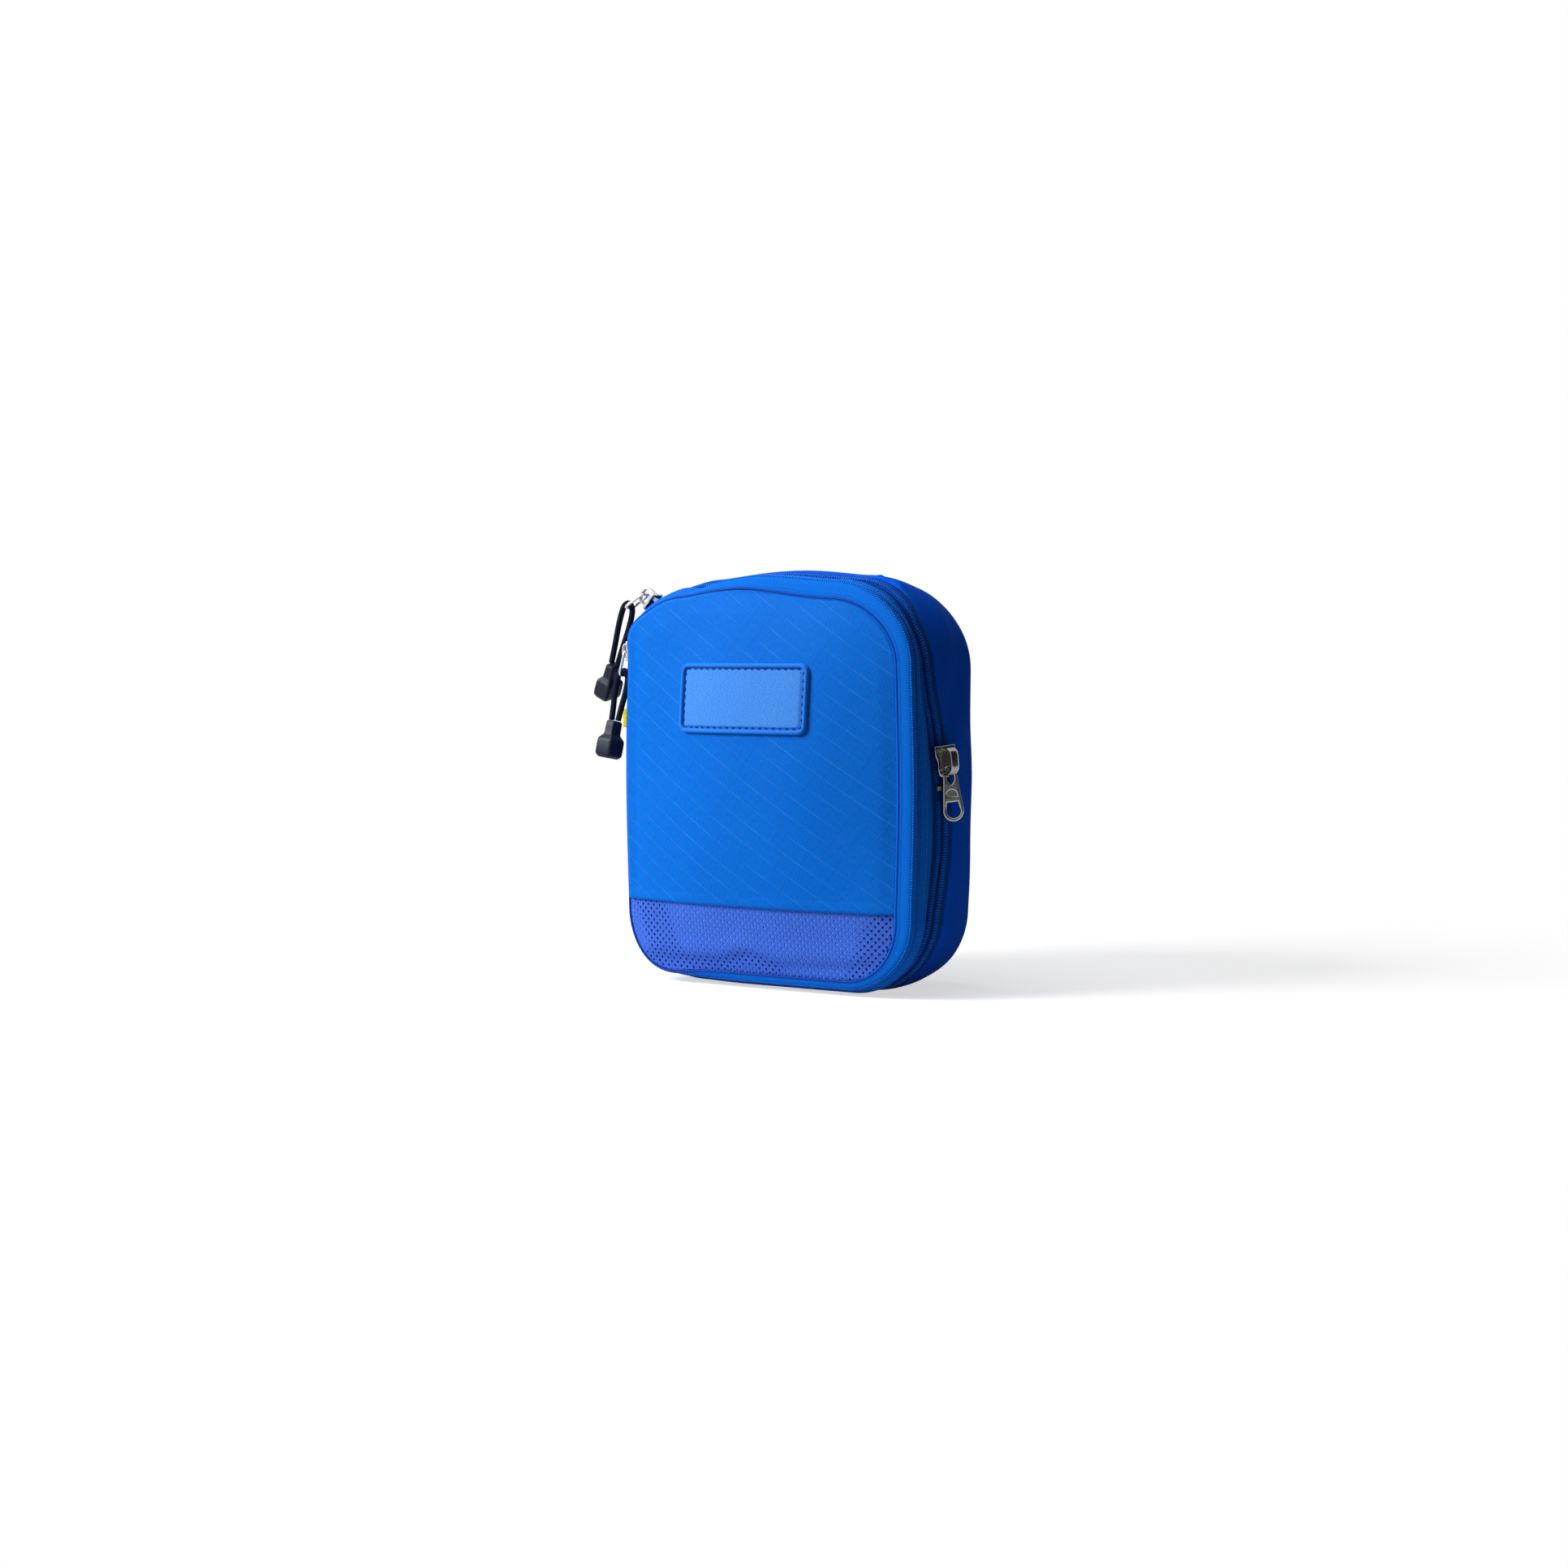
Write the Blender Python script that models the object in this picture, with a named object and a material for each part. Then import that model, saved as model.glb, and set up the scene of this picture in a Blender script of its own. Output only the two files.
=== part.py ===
"""Soft packing cube with a zipped front lid and a compression zipper round its sides.

Metres, +Z up. The front faces -Y, and +X is to the right seen from the front.
The cube stands on its base, with the origin under its middle.
Depths are measured back from the plane of the front panel's seam, and insets
inwards from the widest outline of the body.
"""

import math

import bmesh
import bpy
from mathutils import Matrix, Vector

# Outline of the body seen from the front
HALF_WIDTH = 0.0885
HEIGHT = 0.2150
TOP_CORNER = 0.036
WIDE_TOP_CORNER = 0.048
BASE_CORNER = 0.040
TOP_BULGE = 0.0030
SIDE_BULGE = 0.0015

# Fabric and tape thicknesses, and the clearance between sewn pieces
WALL = 0.0012
TAPE = 0.0010
PLEAT = 0.0008
GAP = 0.0003

# Front panel and its seam with the lid tape
DOME = 0.0130
SEAM_INSET = 0.0087
LEFT_SEAM_INSET = 0.0026
LEFT_SEAM_DEPTH = 0.0036
SHOULDER_DEPTH = 0.0035
SHOULDER_INSET = 0.0030
LEFT_SHOULDER_DEPTH = 0.0054
LEFT_SHOULDER_INSET = 0.0016
LEFT_WRAP_FROM = 0.058
LID_TAPE_WALL = 0.0016
LID_TAPE_FLAT = 0.0032
MESH_SEAM_Z = 0.0440
FOLD_INSET = 0.0205
FOLD_X = FOLD_INSET - HALF_WIDTH

# Front zipper
FRONT_SPLIT_DEPTH = 0.0100
SPLIT_SLIT = 0.0014
EDGE_INSET = 0.0008
BODY_TAPE_FLAT = 0.0130
BODY_TAPE_END = 0.0164
COIL_WIDTH = 0.0026
COIL_HEIGHT = 0.0020

# Compression zipper
REAR_SPLIT_DEPTH = 0.0240
TAPE_FLAT_WIDTH = 0.0050
TAPE_WIDTH = 0.0072
GROOVE = 0.0026
RIGHT_DRIFT = 0.0060
LEFT_DRIFT = 0.0020
CHAIN_HEIGHT = 0.0022
TOOTH_PITCH = 0.0074
TOOTH_DEPTH = 0.0009

# Rear shell
GUSSET_FLAT_DEPTH = 0.052
GUSSET_TURN_DEPTH = 0.068
GUSSET_TURN_INSET = 0.0030
BACK_SEAM_DEPTH = 0.0770
BACK_SEAM_INSET = 0.0110
BACK_BULGE = 0.0030
PLEAT_FOLD_INSET = 0.0150
PLEAT_SLACK = 0.0045
GUSSET_DRIFT = 0.3
BINDING_WIDTH = 0.0055
FRONT_BINDING_WIDTH = 0.0025

# Label patch on the front panel
PATCH_WIDTH = 0.0790
PATCH_HEIGHT = 0.0365
PATCH_X = -0.0055
PATCH_DROP = 0.0622
PATCH_Z = HEIGHT - PATCH_DROP
PATCH_CORNER = 0.0050
PATCH_THICKNESS = 0.0010
BORDER_WIDTH = 0.0030
BORDER_RISE = 0.0006

# Sliders
SLIDER_LENGTH = 0.0110
SLIDER_MOUTH = 0.0094
SLIDER_TAIL = 0.0072
PLATE = 0.0013
POST_WIDTH = 0.0008
POST_LENGTH = 0.0030
POST_SETBACK = 0.0008
PLATE_CORNER = 0.0012
PLATE_SHOULDER = 0.0022
PLATE_TAPER = 0.8
CROWN_LENGTH = 0.0086
CROWN_HEIGHT = 0.0042
CROWN_WIDTH = 0.0032
CROWN_WALL = 0.0012
CROWN_SHOULDER = 0.55
CROWN_TOP = 0.6
SLIDER_CLEARANCE = 0.0005
UPPER_SLIDER_ANGLE = 135.0
LOWER_SLIDER_DROP = 0.0030
LOWER_SLIDER_Z = HEIGHT - TOP_CORNER - LOWER_SLIDER_DROP
METAL_SLIDER_SHARE = 0.56
METAL_SLIDER_Z = HEIGHT * METAL_SLIDER_SHARE
CHAIN_GAP_HIGH = METAL_SLIDER_Z - SLIDER_LENGTH
CHAIN_GAP = 0.0090
CHAIN_GAP_LOW = CHAIN_GAP_HIGH - CHAIN_GAP
METAL_SLIDER_TRAVEL = 0.0250
LOWER_SLIDER_TRAVEL = 0.0200

# Pulls
BAIL_WIRE = 0.0016
BAIL_WIDTH = 0.0096
BAIL_LENGTH = 0.0150
BAIL_CORNER = 0.0030
BAIL_BEND = 0.0012
BAIL_NECK = 0.86
UPPER_BAIL_LEAN = 58.0
LOWER_BAIL_LEAN = 14.0
CORD_DIAMETER = 0.0032
CORD_LOOP_WIDTH = 0.0070
CORD_GRIP_SPACING = 0.0042
CORD_WAIST = 0.70
CORD_WAIST_SPREAD = 1.25
CORD_BELLY = 0.30
CORD_SHOULDER = 0.20
CORD_SHOULDER_SPREAD = 0.86
UPPER_CORD_DROP = 0.0350
LOWER_CORD_DROP = 0.0250
UPPER_GRIP_LEAN = 26.0
LOWER_GRIP_LEAN = 7.0
UPPER_GRIP_SIDE = 0.0078
LOWER_GRIP_SIDE = -0.0040
GRIP_HEIGHT = 0.0205
GRIP_WIDTH = 0.0098
GRIP_NECK_WIDTH = 0.0060
GRIP_NECK_HEIGHT = 0.0080
GRIP_DEPTH = 0.0130
GRIP_NECK_DEPTH = 0.0084
GRIP_CHAMFER = 0.0012
GRIP_SLOPE = 0.0030
GRIP_FOOT = 0.0022
TAB_LENGTH = 0.0300
TAB_WIDTH = 0.0106
TAB_NECK_WIDTH = 0.0080
TAB_THICKNESS = 0.0018
TAB_BAR = 0.0016
TAB_WINDOW = 0.0026
TAB_CORNER = 0.0012
TAB_TOP = 0.7
STOP_LENGTH = 0.0030
STOP_WIDTH = 0.0036
STOP_HEIGHT = 0.0016
STOP_EDGE = 0.0005

# Ribbon tab on the left side
RIBBON_DROP = 0.0750
RIBBON_Z = HEIGHT - RIBBON_DROP
RIBBON_HEIGHT = 0.0100
RIBBON_REACH = 0.0056
RIBBON_THICKNESS = 0.0016
RIBBON_DEPTH = 0.0165
RIBBON_FOLD = 0.0007

# Facets of the outline
BASE_STEPS = 6
SIDE_STEPS = 10
TOP_STEPS = 6
CORNER_STEPS = 7
PATCH_STEPS = 5
CORD_STEPS = 4
PANEL_RINGS = (1.0, 0.96, 0.90, 0.80, 0.60, 0.32)
BACK_RINGS = (1.0, 0.80, 0.40)
PATCH_RINGS = (1.0, 0.75, 0.5, 0.25)
WRAP_POWER = 7

FRONT_SEAM_Y = (DOME + PATCH_THICKNESS - BACK_SEAM_DEPTH - BACK_BULGE) / 2
MIDDLE_Z = HEIGHT / 2

COLOURS = {
    "ripstop": ((0.012, 0.130, 0.680), 0.55, 0.0),
    "mesh": ((0.060, 0.120, 0.680), 0.80, 0.0),
    "tape": ((0.010, 0.120, 0.700), 0.70, 0.0),
    "lining": ((0.008, 0.090, 0.500), 0.80, 0.0),
    "patch": ((0.080, 0.280, 0.800), 0.75, 0.0),
    "gunmetal": ((0.050, 0.050, 0.052), 0.25, 1.0),
    "nickel": ((0.600, 0.590, 0.570), 0.22, 1.0),
    "navy_rubber": ((0.018, 0.024, 0.060), 0.50, 0.0),
    "navy_cord": ((0.016, 0.020, 0.050), 0.85, 0.0),
    "yellow_ribbon": ((0.640, 0.590, 0.040), 0.80, 0.0),
}


def clear_scene():
    for obj in list(bpy.data.objects):
        bpy.data.objects.remove(obj, do_unlink=True)


def material(name):
    found = bpy.data.materials.get(name)
    if found:
        return found
    colour, roughness, metallic = COLOURS[name]
    made = bpy.data.materials.new(name)
    made.use_nodes = True
    shader = made.node_tree.nodes["Principled BSDF"]
    shader.inputs["Base Color"].default_value = (*colour, 1.0)
    shader.inputs["Roughness"].default_value = roughness
    shader.inputs["Metallic"].default_value = metallic
    return made


def finish(name, bm, material_name, parent=None):
    """A named object from a bmesh in world coordinates, kept under its parent."""
    bmesh.ops.recalc_face_normals(bm, faces=bm.faces)
    mesh = bpy.data.meshes.new(name)
    bm.to_mesh(mesh)
    bm.free()
    mesh.materials.append(material(material_name))
    mesh.shade_smooth()
    mesh.set_sharp_from_angle(angle=math.radians(40))
    obj = bpy.data.objects.new(name, mesh)
    bpy.context.scene.collection.objects.link(obj)
    if parent:
        hang(obj, parent)
    return obj


def pivot(name, place, parent=None):
    """An empty on a joint's axis, which carries the pieces that move on it."""
    empty = bpy.data.objects.new(name, None)
    empty.empty_display_size = 0.01
    bpy.context.scene.collection.objects.link(empty)
    empty.location = place
    bpy.context.view_layer.update()
    if parent:
        hang(empty, parent)
    return empty


def hang(obj, parent):
    """Parents an object that is already in its place."""
    bpy.context.view_layer.update()
    obj.parent = parent
    obj.matrix_parent_inverse = parent.matrix_world.inverted()


def smooth(value, low, high):
    share = min(max((value - low) / (high - low), 0.0), 1.0)
    return share * share * (3 - 2 * share)


def outline(inset, left_corner):
    """Points (x, z, side) round the body, anticlockwise from the left end of the base.

    side is how far the point lies into a bulging side wall: 1 in its middle, 0 off it.
    """
    half = HALF_WIDTH - inset
    top = HEIGHT - inset
    left_r = left_corner - inset
    right_r = WIDE_TOP_CORNER - inset
    base_r = BASE_CORNER - inset
    points = []

    def run(start, end, steps, normal, rise, is_side):
        for i in range(steps):
            share = i / steps
            arch = 1 - (2 * share - 1) ** 2
            x = start[0] + (end[0] - start[0]) * share + normal[0] * rise * arch
            z = start[1] + (end[1] - start[1]) * share + normal[1] * rise * arch
            points.append((x, z, arch if is_side else 0.0))

    def corner(centre, radius, start_deg):
        for i in range(CORNER_STEPS):
            angle = math.radians(start_deg + 90 * i / CORNER_STEPS)
            points.append((centre[0] + radius * math.cos(angle), centre[1] + radius * math.sin(angle), 0.0))

    run((-half + base_r, inset), (half - base_r, inset), BASE_STEPS, (0, -1), 0, False)
    corner((half - base_r, BASE_CORNER), base_r, -90)
    run((half, BASE_CORNER), (half, top - right_r), SIDE_STEPS, (1, 0), SIDE_BULGE, True)
    corner((half - right_r, top - right_r), right_r, 0)
    run((half - right_r, top), (-half + left_r, top), TOP_STEPS, (0, 1), TOP_BULGE, False)
    corner((-half + left_r, top - left_r), left_r, 90)
    run((-half, top - left_r), (-half, BASE_CORNER), SIDE_STEPS, (-1, 0), SIDE_BULGE, True)
    corner((-half + base_r, BASE_CORNER), base_r, 180)
    return points


def left_share(x):
    """How far a point lies round the left edge, where the front panel wraps onto the side."""
    return smooth(-x, LEFT_WRAP_FROM, HALF_WIDTH - LEFT_SEAM_INSET)


def left_corner_at(depth):
    """The radius of the left top corner, which grows behind the compression zipper to that of the right one."""
    share = (depth - REAR_SPLIT_DEPTH) / (GUSSET_FLAT_DEPTH - REAR_SPLIT_DEPTH)
    share = min(max(share, 0.0), 1.0)
    return TOP_CORNER + (WIDE_TOP_CORNER - TOP_CORNER) * share


def station(depth, inset, drift=0.0, left=None):
    """One closed loop of points round the body at a depth. left = (depth, inset) at the left edge."""
    loop = []
    left_corner = left_corner_at(depth)
    base = outline(inset, left_corner)
    wrapped = outline(left[1], left_corner) if left else base
    for (x, z, side), (wrap_x, wrap_z, _) in zip(base, wrapped):
        share = left_share(wrap_x) if left else 0.0
        back = depth + drift * side * (RIGHT_DRIFT if x > 0 else LEFT_DRIFT)
        if left:
            x += (wrap_x - x) * share
            z += (wrap_z - z) * share
            back += (left[0] - depth) * share
        loop.append(Vector((x, FRONT_SEAM_Y + back, z)))
    return loop


def band_mesh(outer, inner, closed=True):
    """A closed ring or an open strip from matching outer and inner loops, front to back."""
    bm = bmesh.new()
    rows = [[bm.verts.new(p) for p in loop] for loop in outer + inner[::-1]]
    count = len(rows[0])
    last = count if closed else count - 1
    for a, b in zip(rows, rows[1:] + rows[:1]):
        for i in range(last):
            j = (i + 1) % count
            bm.faces.new((a[i], a[j], b[j], b[i]))
    if not closed:
        bm.faces.new([row[0] for row in rows])
        bm.faces.new([row[-1] for row in rows][::-1])
    return bm


def ring(stations, wall):
    """A band of fabric from a list of station arguments, with an even wall inside it."""
    outer = [station(**s) for s in stations]
    inner = []
    for s in stations:
        deeper = dict(s, inset=s["inset"] + wall)
        if s.get("left"):
            deeper["left"] = (s["left"][0], s["left"][1] + wall)
        inner.append(station(**deeper))
    return band_mesh(outer, inner)


def shell_mesh(layers):
    """A closed shell from two layers, each made of nested loops and a middle point."""
    bm = bmesh.new()
    rims = []
    for loops, middle in layers:
        rows = [[bm.verts.new(p) for p in loop] for loop in loops]
        count = len(rows[0])
        for a, b in zip(rows, rows[1:]):
            for i in range(count):
                j = (i + 1) % count
                bm.faces.new((a[i], a[j], b[j], b[i]))
        centre = bm.verts.new(middle)
        for i in range(count):
            bm.faces.new((rows[-1][i], rows[-1][(i + 1) % count], centre))
        rims.append(rows[0])
    near, far = rims
    for i in range(count):
        j = (i + 1) % count
        bm.faces.new((near[i], far[i], far[j], near[j]))
    return bm


def keep_side(bm, place, normal):
    """Cuts a closed mesh with a plane, keeps what lies ahead of it and closes the cut."""
    geometry = bm.verts[:] + bm.edges[:] + bm.faces[:]
    bmesh.ops.bisect_plane(bm, geom=geometry, plane_co=place, plane_no=normal, clear_inner=True)
    bmesh.ops.holes_fill(bm, edges=[e for e in bm.edges if e.is_boundary], sides=0)
    return bm


def moving_side(bm):
    return keep_side(bm, (FOLD_X + GAP / 2, 0, 0), (1, 0, 0))


def fixed_side(bm):
    return keep_side(bm, (FOLD_X - GAP / 2, 0, 0), (-1, 0, 0))


# Front panel


def dome_depth(x, z):
    """How far the stuffed front stands ahead of its seam at a point."""
    across = min(abs(x) / (HALF_WIDTH - SEAM_INSET), 1.0)
    up = min(abs(z - MIDDLE_Z) / (MIDDLE_Z - SEAM_INSET), 1.0)
    return DOME * (1 - across * across) * (1 - up * up)


def panel_mesh():
    """The whole front face, ripstop and mesh, as one crowned shell that wraps round the left edge."""
    seat = LID_TAPE_WALL + GAP
    rim = station(0, SEAM_INSET + seat, left=(LEFT_SEAM_DEPTH, LEFT_SEAM_INSET + seat))
    layers = []
    for offset in (0.0, WALL):
        loops = []
        for share in PANEL_RINGS:
            loop = []
            for p in rim:
                x = p.x * share
                z = MIDDLE_Z + (p.z - MIDDLE_Z) * share
                wrap = (p.y - FRONT_SEAM_Y) * share ** WRAP_POWER
                loop.append((x, FRONT_SEAM_Y + wrap - dome_depth(x, z) + offset, z))
            loops.append(loop)
        layers.append((loops, (0, FRONT_SEAM_Y - DOME + offset, MIDDLE_Z)))
    return shell_mesh(layers)


def above_mesh(bm):
    return keep_side(bm, (0, 0, MESH_SEAM_Z + GAP / 2), (0, 0, 1))


def below_mesh(bm):
    return keep_side(bm, (0, 0, MESH_SEAM_Z - GAP / 2), (0, 0, -1))


def build_panels(frame, lid):
    finish("front_panel", moving_side(above_mesh(panel_mesh())), "ripstop", lid)
    finish("mesh_panel", moving_side(below_mesh(panel_mesh())), "mesh", lid)
    finish("front_panel_hinge_edge", fixed_side(above_mesh(panel_mesh())), "ripstop", frame)
    finish("mesh_panel_hinge_edge", fixed_side(below_mesh(panel_mesh())), "mesh", frame)


def rounded_rectangle(width, height, radius, corner_steps=4):
    """Points round a rectangle with arcs at its corners and even steps along its edges."""
    points = []
    for i, (sx, sz) in enumerate(((1, -1), (1, 1), (-1, 1), (-1, -1))):
        centre = (sx * (width / 2 - radius), sz * (height / 2 - radius))
        points += arc_points(centre, radius, -90 + 90 * i, 90 * i, corner_steps)
        end = points[-1]
        if i % 2:
            start = (-end[0], end[1])
        else:
            start = (end[0], -end[1])
        for k in range(1, PATCH_STEPS):
            share = k / PATCH_STEPS
            points.append((end[0] + (start[0] - end[0]) * share, end[1] + (start[1] - end[1]) * share))
    return points


def on_panel(x, z, lift):
    """A point on the front panel at patch coordinates, raised towards the viewer."""
    px = PATCH_X + x
    pz = PATCH_Z + z
    return Vector((px, FRONT_SEAM_Y - dome_depth(px, pz) - lift, pz))


def build_patch(lid):
    """A blank rounded patch in a raised border, both lying on the crowned panel."""

    def loop(inset):
        return rounded_rectangle(PATCH_WIDTH - 2 * inset, PATCH_HEIGHT - 2 * inset, PATCH_CORNER - inset)

    field = loop(BORDER_WIDTH)
    layers = []
    for lift in (GAP, GAP + PATCH_THICKNESS):
        loops = [[on_panel(x * share, z * share, lift) for x, z in field] for share in PATCH_RINGS]
        layers.append((loops, on_panel(0, 0, lift)))
    finish("label_patch", shell_mesh(layers), "patch", lid)

    outer = loop(0)
    crown = loop(BORDER_WIDTH / 2)
    seat = loop(BORDER_WIDTH - GAP)
    top = GAP + PATCH_THICKNESS
    section = [(outer, GAP), (outer, top), (crown, top + BORDER_RISE), (seat, top), (seat, GAP)]
    loops = [[on_panel(x, z, lift) for x, z in points] for points, lift in section]
    finish("label_patch_border", band_mesh(loops, []), "tape", lid)


# Zippers


def half_slit(depth, sign):
    return depth + sign * SPLIT_SLIT / 2


LID_EDGE = half_slit(FRONT_SPLIT_DEPTH, -1)
BODY_EDGE = half_slit(FRONT_SPLIT_DEPTH, 1)
FRONT_CHAIN_EDGE = half_slit(REAR_SPLIT_DEPTH, -1)
REAR_CHAIN_EDGE = half_slit(REAR_SPLIT_DEPTH, 1)
FRONT_TAPE_START = REAR_SPLIT_DEPTH - TAPE_WIDTH
REAR_TAPE_END = REAR_SPLIT_DEPTH + TAPE_WIDTH
BODY_TAPE_DRIFT = 0.25


def following(depth, inset, drift=1.0):
    """Station arguments for a piece that follows the compression zipper's drift along the sides."""
    return dict(depth=depth, inset=inset, drift=drift)


def lid_tape_mesh():
    return ring([
        dict(depth=0.0, inset=SEAM_INSET, left=(LEFT_SEAM_DEPTH, LEFT_SEAM_INSET)),
        dict(depth=SHOULDER_DEPTH, inset=SHOULDER_INSET, left=(LEFT_SHOULDER_DEPTH, LEFT_SHOULDER_INSET)),
        dict(depth=LID_EDGE - LID_TAPE_FLAT, inset=EDGE_INSET),
        dict(depth=LID_EDGE, inset=EDGE_INSET),
    ], LID_TAPE_WALL)


def front_coil_mesh(front, back):
    """A plain bead of coil on the inside of a front zipper tape."""
    inset = EDGE_INSET + LID_TAPE_WALL + GAP
    return ring([dict(depth=front, inset=inset), dict(depth=back, inset=inset)], COIL_HEIGHT)


def build_front_zipper(frame, lid):
    finish("front_zip_lid_tape", moving_side(lid_tape_mesh()), "tape", lid)
    finish("front_zip_lid_tape_end", fixed_side(lid_tape_mesh()), "tape", frame)
    body_tape = ring([
        dict(depth=BODY_EDGE, inset=EDGE_INSET),
        dict(depth=BODY_TAPE_FLAT, inset=0.0, drift=BODY_TAPE_DRIFT / 2),
        dict(depth=BODY_TAPE_END, inset=0.0, drift=BODY_TAPE_DRIFT),
    ], TAPE)
    finish("front_zip_body_tape", body_tape, "tape", frame)
    lid_coil = moving_side(front_coil_mesh(LID_EDGE - COIL_WIDTH, LID_EDGE))
    finish("front_zip_lid_coil", lid_coil, "tape", lid)
    body_coil = moving_side(front_coil_mesh(BODY_EDGE, BODY_EDGE + COIL_WIDTH))
    finish("front_zip_body_coil", body_coil, "tape", frame)
    binding_end = BODY_TAPE_END - GAP
    binding_start = binding_end - FRONT_BINDING_WIDTH
    binding = ring([
        dict(depth=binding_start, inset=TAPE + GAP, drift=BODY_TAPE_DRIFT),
        dict(depth=binding_end, inset=TAPE + GAP, drift=BODY_TAPE_DRIFT),
    ], TAPE)
    finish("front_seam_binding", binding, "lining", frame)


def side_lengths(loop):
    return [(b - a).length for a, b in zip(loop, loop[1:] + loop[:1])]


def resample(loop, count):
    """A number of points equally far apart along a closed loop."""
    lengths = side_lengths(loop)
    step = sum(lengths) / count
    points = []
    at = 0
    passed = 0.0
    for i in range(count):
        while passed + lengths[at] < i * step:
            passed += lengths[at]
            at += 1
        share = (i * step - passed) / lengths[at]
        points.append(loop[at].lerp(loop[(at + 1) % len(loop)], share))
    return points


def in_chain_gap(p):
    return p.x > 0 and CHAIN_GAP_LOW < p.z < CHAIN_GAP_HIGH


def chain_mesh(edge, sign, phase):
    """One half of the exposed coil: a bead whose inner edge is cut into teeth, open at the chain's ends."""
    low = GROOVE - GAP
    high = low - CHAIN_HEIGHT
    far = edge + sign * COIL_WIDTH
    corners = [station(**following(depth, inset)) for depth, inset in
               ((edge, low), (far, low), (far, high), (edge, high))]
    count = 2 * round(sum(side_lengths(corners[0])) / TOOTH_PITCH)
    loops = [resample(corner, count) for corner in corners]
    first = loops[0]
    start = next(i for i in range(count) if in_chain_gap(first[i - 1]) and not in_chain_gap(first[i]))
    order = [(start + i) % count for i in range(count)]
    order = [i for i in order if not in_chain_gap(first[i])]
    rows = [[loop[i].copy() for i in order] for loop in loops]
    for k in range(phase, len(order), 2):
        for row in (rows[0], rows[3]):
            row[k].y += sign * TOOTH_DEPTH
    return band_mesh(rows, [], closed=False)


def build_compression_zipper(root, frame):
    front_tape = ring([
        following(FRONT_TAPE_START + GAP, 0.0, BODY_TAPE_DRIFT),
        following(REAR_SPLIT_DEPTH - TAPE_FLAT_WIDTH, GROOVE),
        following(FRONT_CHAIN_EDGE, GROOVE),
    ], TAPE)
    finish("compression_zip_front_tape", front_tape, "tape", frame)
    rear_tape = ring([
        following(REAR_CHAIN_EDGE, GROOVE),
        following(REAR_SPLIT_DEPTH + TAPE_FLAT_WIDTH, GROOVE),
        following(REAR_TAPE_END, 0.0),
    ], TAPE)
    finish("compression_zip_rear_tape", rear_tape, "tape", root)
    finish("compression_zip_front_coil", chain_mesh(FRONT_CHAIN_EDGE, -1, 0), "tape", frame)
    finish("compression_zip_rear_coil", chain_mesh(REAR_CHAIN_EDGE, 1, 1), "tape", root)


# Rear shell


def build_rear_shell(root):
    gusset = ring([
        following(REAR_TAPE_END + GAP, 0.0),
        dict(depth=GUSSET_FLAT_DEPTH, inset=0.0, drift=GUSSET_DRIFT),
        dict(depth=GUSSET_TURN_DEPTH, inset=GUSSET_TURN_INSET),
        dict(depth=BACK_SEAM_DEPTH, inset=BACK_SEAM_INSET),
    ], WALL)
    finish("rear_gusset", gusset, "lining", root)
    build_back_panel(root)
    start = GUSSET_TURN_DEPTH - BINDING_WIDTH
    start_share = (start - GUSSET_FLAT_DEPTH) / (GUSSET_TURN_DEPTH - GUSSET_FLAT_DEPTH)
    seat = WALL + GAP
    binding = ring([
        dict(depth=start, inset=GUSSET_TURN_INSET * start_share + seat),
        dict(depth=GUSSET_TURN_DEPTH - GAP, inset=GUSSET_TURN_INSET + seat),
    ], TAPE)
    finish("back_seam_binding", binding, "lining", root)


def build_back_panel(root):
    """A slightly crowned back, seated inside the rear edge of the gusset."""
    rim = station(BACK_SEAM_DEPTH, BACK_SEAM_INSET + WALL + GAP)
    seam_y = FRONT_SEAM_Y + BACK_SEAM_DEPTH
    layers = []
    for offset in (0.0, -WALL):
        loops = []
        for share in BACK_RINGS:
            y = seam_y + BACK_BULGE * (1 - share * share) + offset
            loops.append([(p.x * share, y, MIDDLE_Z + (p.z - MIDDLE_Z) * share) for p in rim])
        layers.append((loops, (0, seam_y + BACK_BULGE + offset, MIDDLE_Z)))
    finish("back_panel", shell_mesh(layers), "lining", root)


def build_pleat(root):
    """The strip that lets the cube grow: folded inwards behind the closed compression zipper."""
    edge = GROOVE + TAPE + GAP
    route = [
        (FRONT_TAPE_START + GAP, edge, 2), (REAR_SPLIT_DEPTH, PLEAT_FOLD_INSET, 1),
        (REAR_SPLIT_DEPTH + TAPE_FLAT_WIDTH, edge + PLEAT_SLACK, 2), (REAR_TAPE_END - GAP, edge, 3),
    ]
    outer = [station(**following(depth, inset)) for depth, inset, _ in route]
    inner = [station(**following(depth, inset + (1 + folds) * PLEAT)) for depth, inset, folds in route]
    finish("expansion_pleat", band_mesh(outer, inner), "lining", root)


def build_ribbon_tab(frame):
    """A short folded ribbon caught in the left side seam."""
    seam_x = -(HALF_WIDTH + SIDE_BULGE) - GAP
    y = FRONT_SEAM_Y + RIBBON_DEPTH
    half = Vector((0, RIBBON_THICKNESS / 2, RIBBON_HEIGHT / 2))
    low = (seam_x - RIBBON_REACH, y - half.y, RIBBON_Z - half.z)
    bm = box(low, (seam_x, y + half.y, RIBBON_Z + half.z))
    fold = []
    for edge in bm.edges:
        a, b = (v.co for v in edge.verts)
        if max(a.x, b.x) < seam_x - RIBBON_REACH / 2 and abs(a.z - b.z) > half.z:
            fold.append(edge)
    bmesh.ops.bevel(bm, geom=fold, offset=RIBBON_FOLD, segments=3, affect="EDGES", profile=0.5)
    finish("side_ribbon_tab", bm, "yellow_ribbon", frame)


# Sliders and pulls


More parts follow.
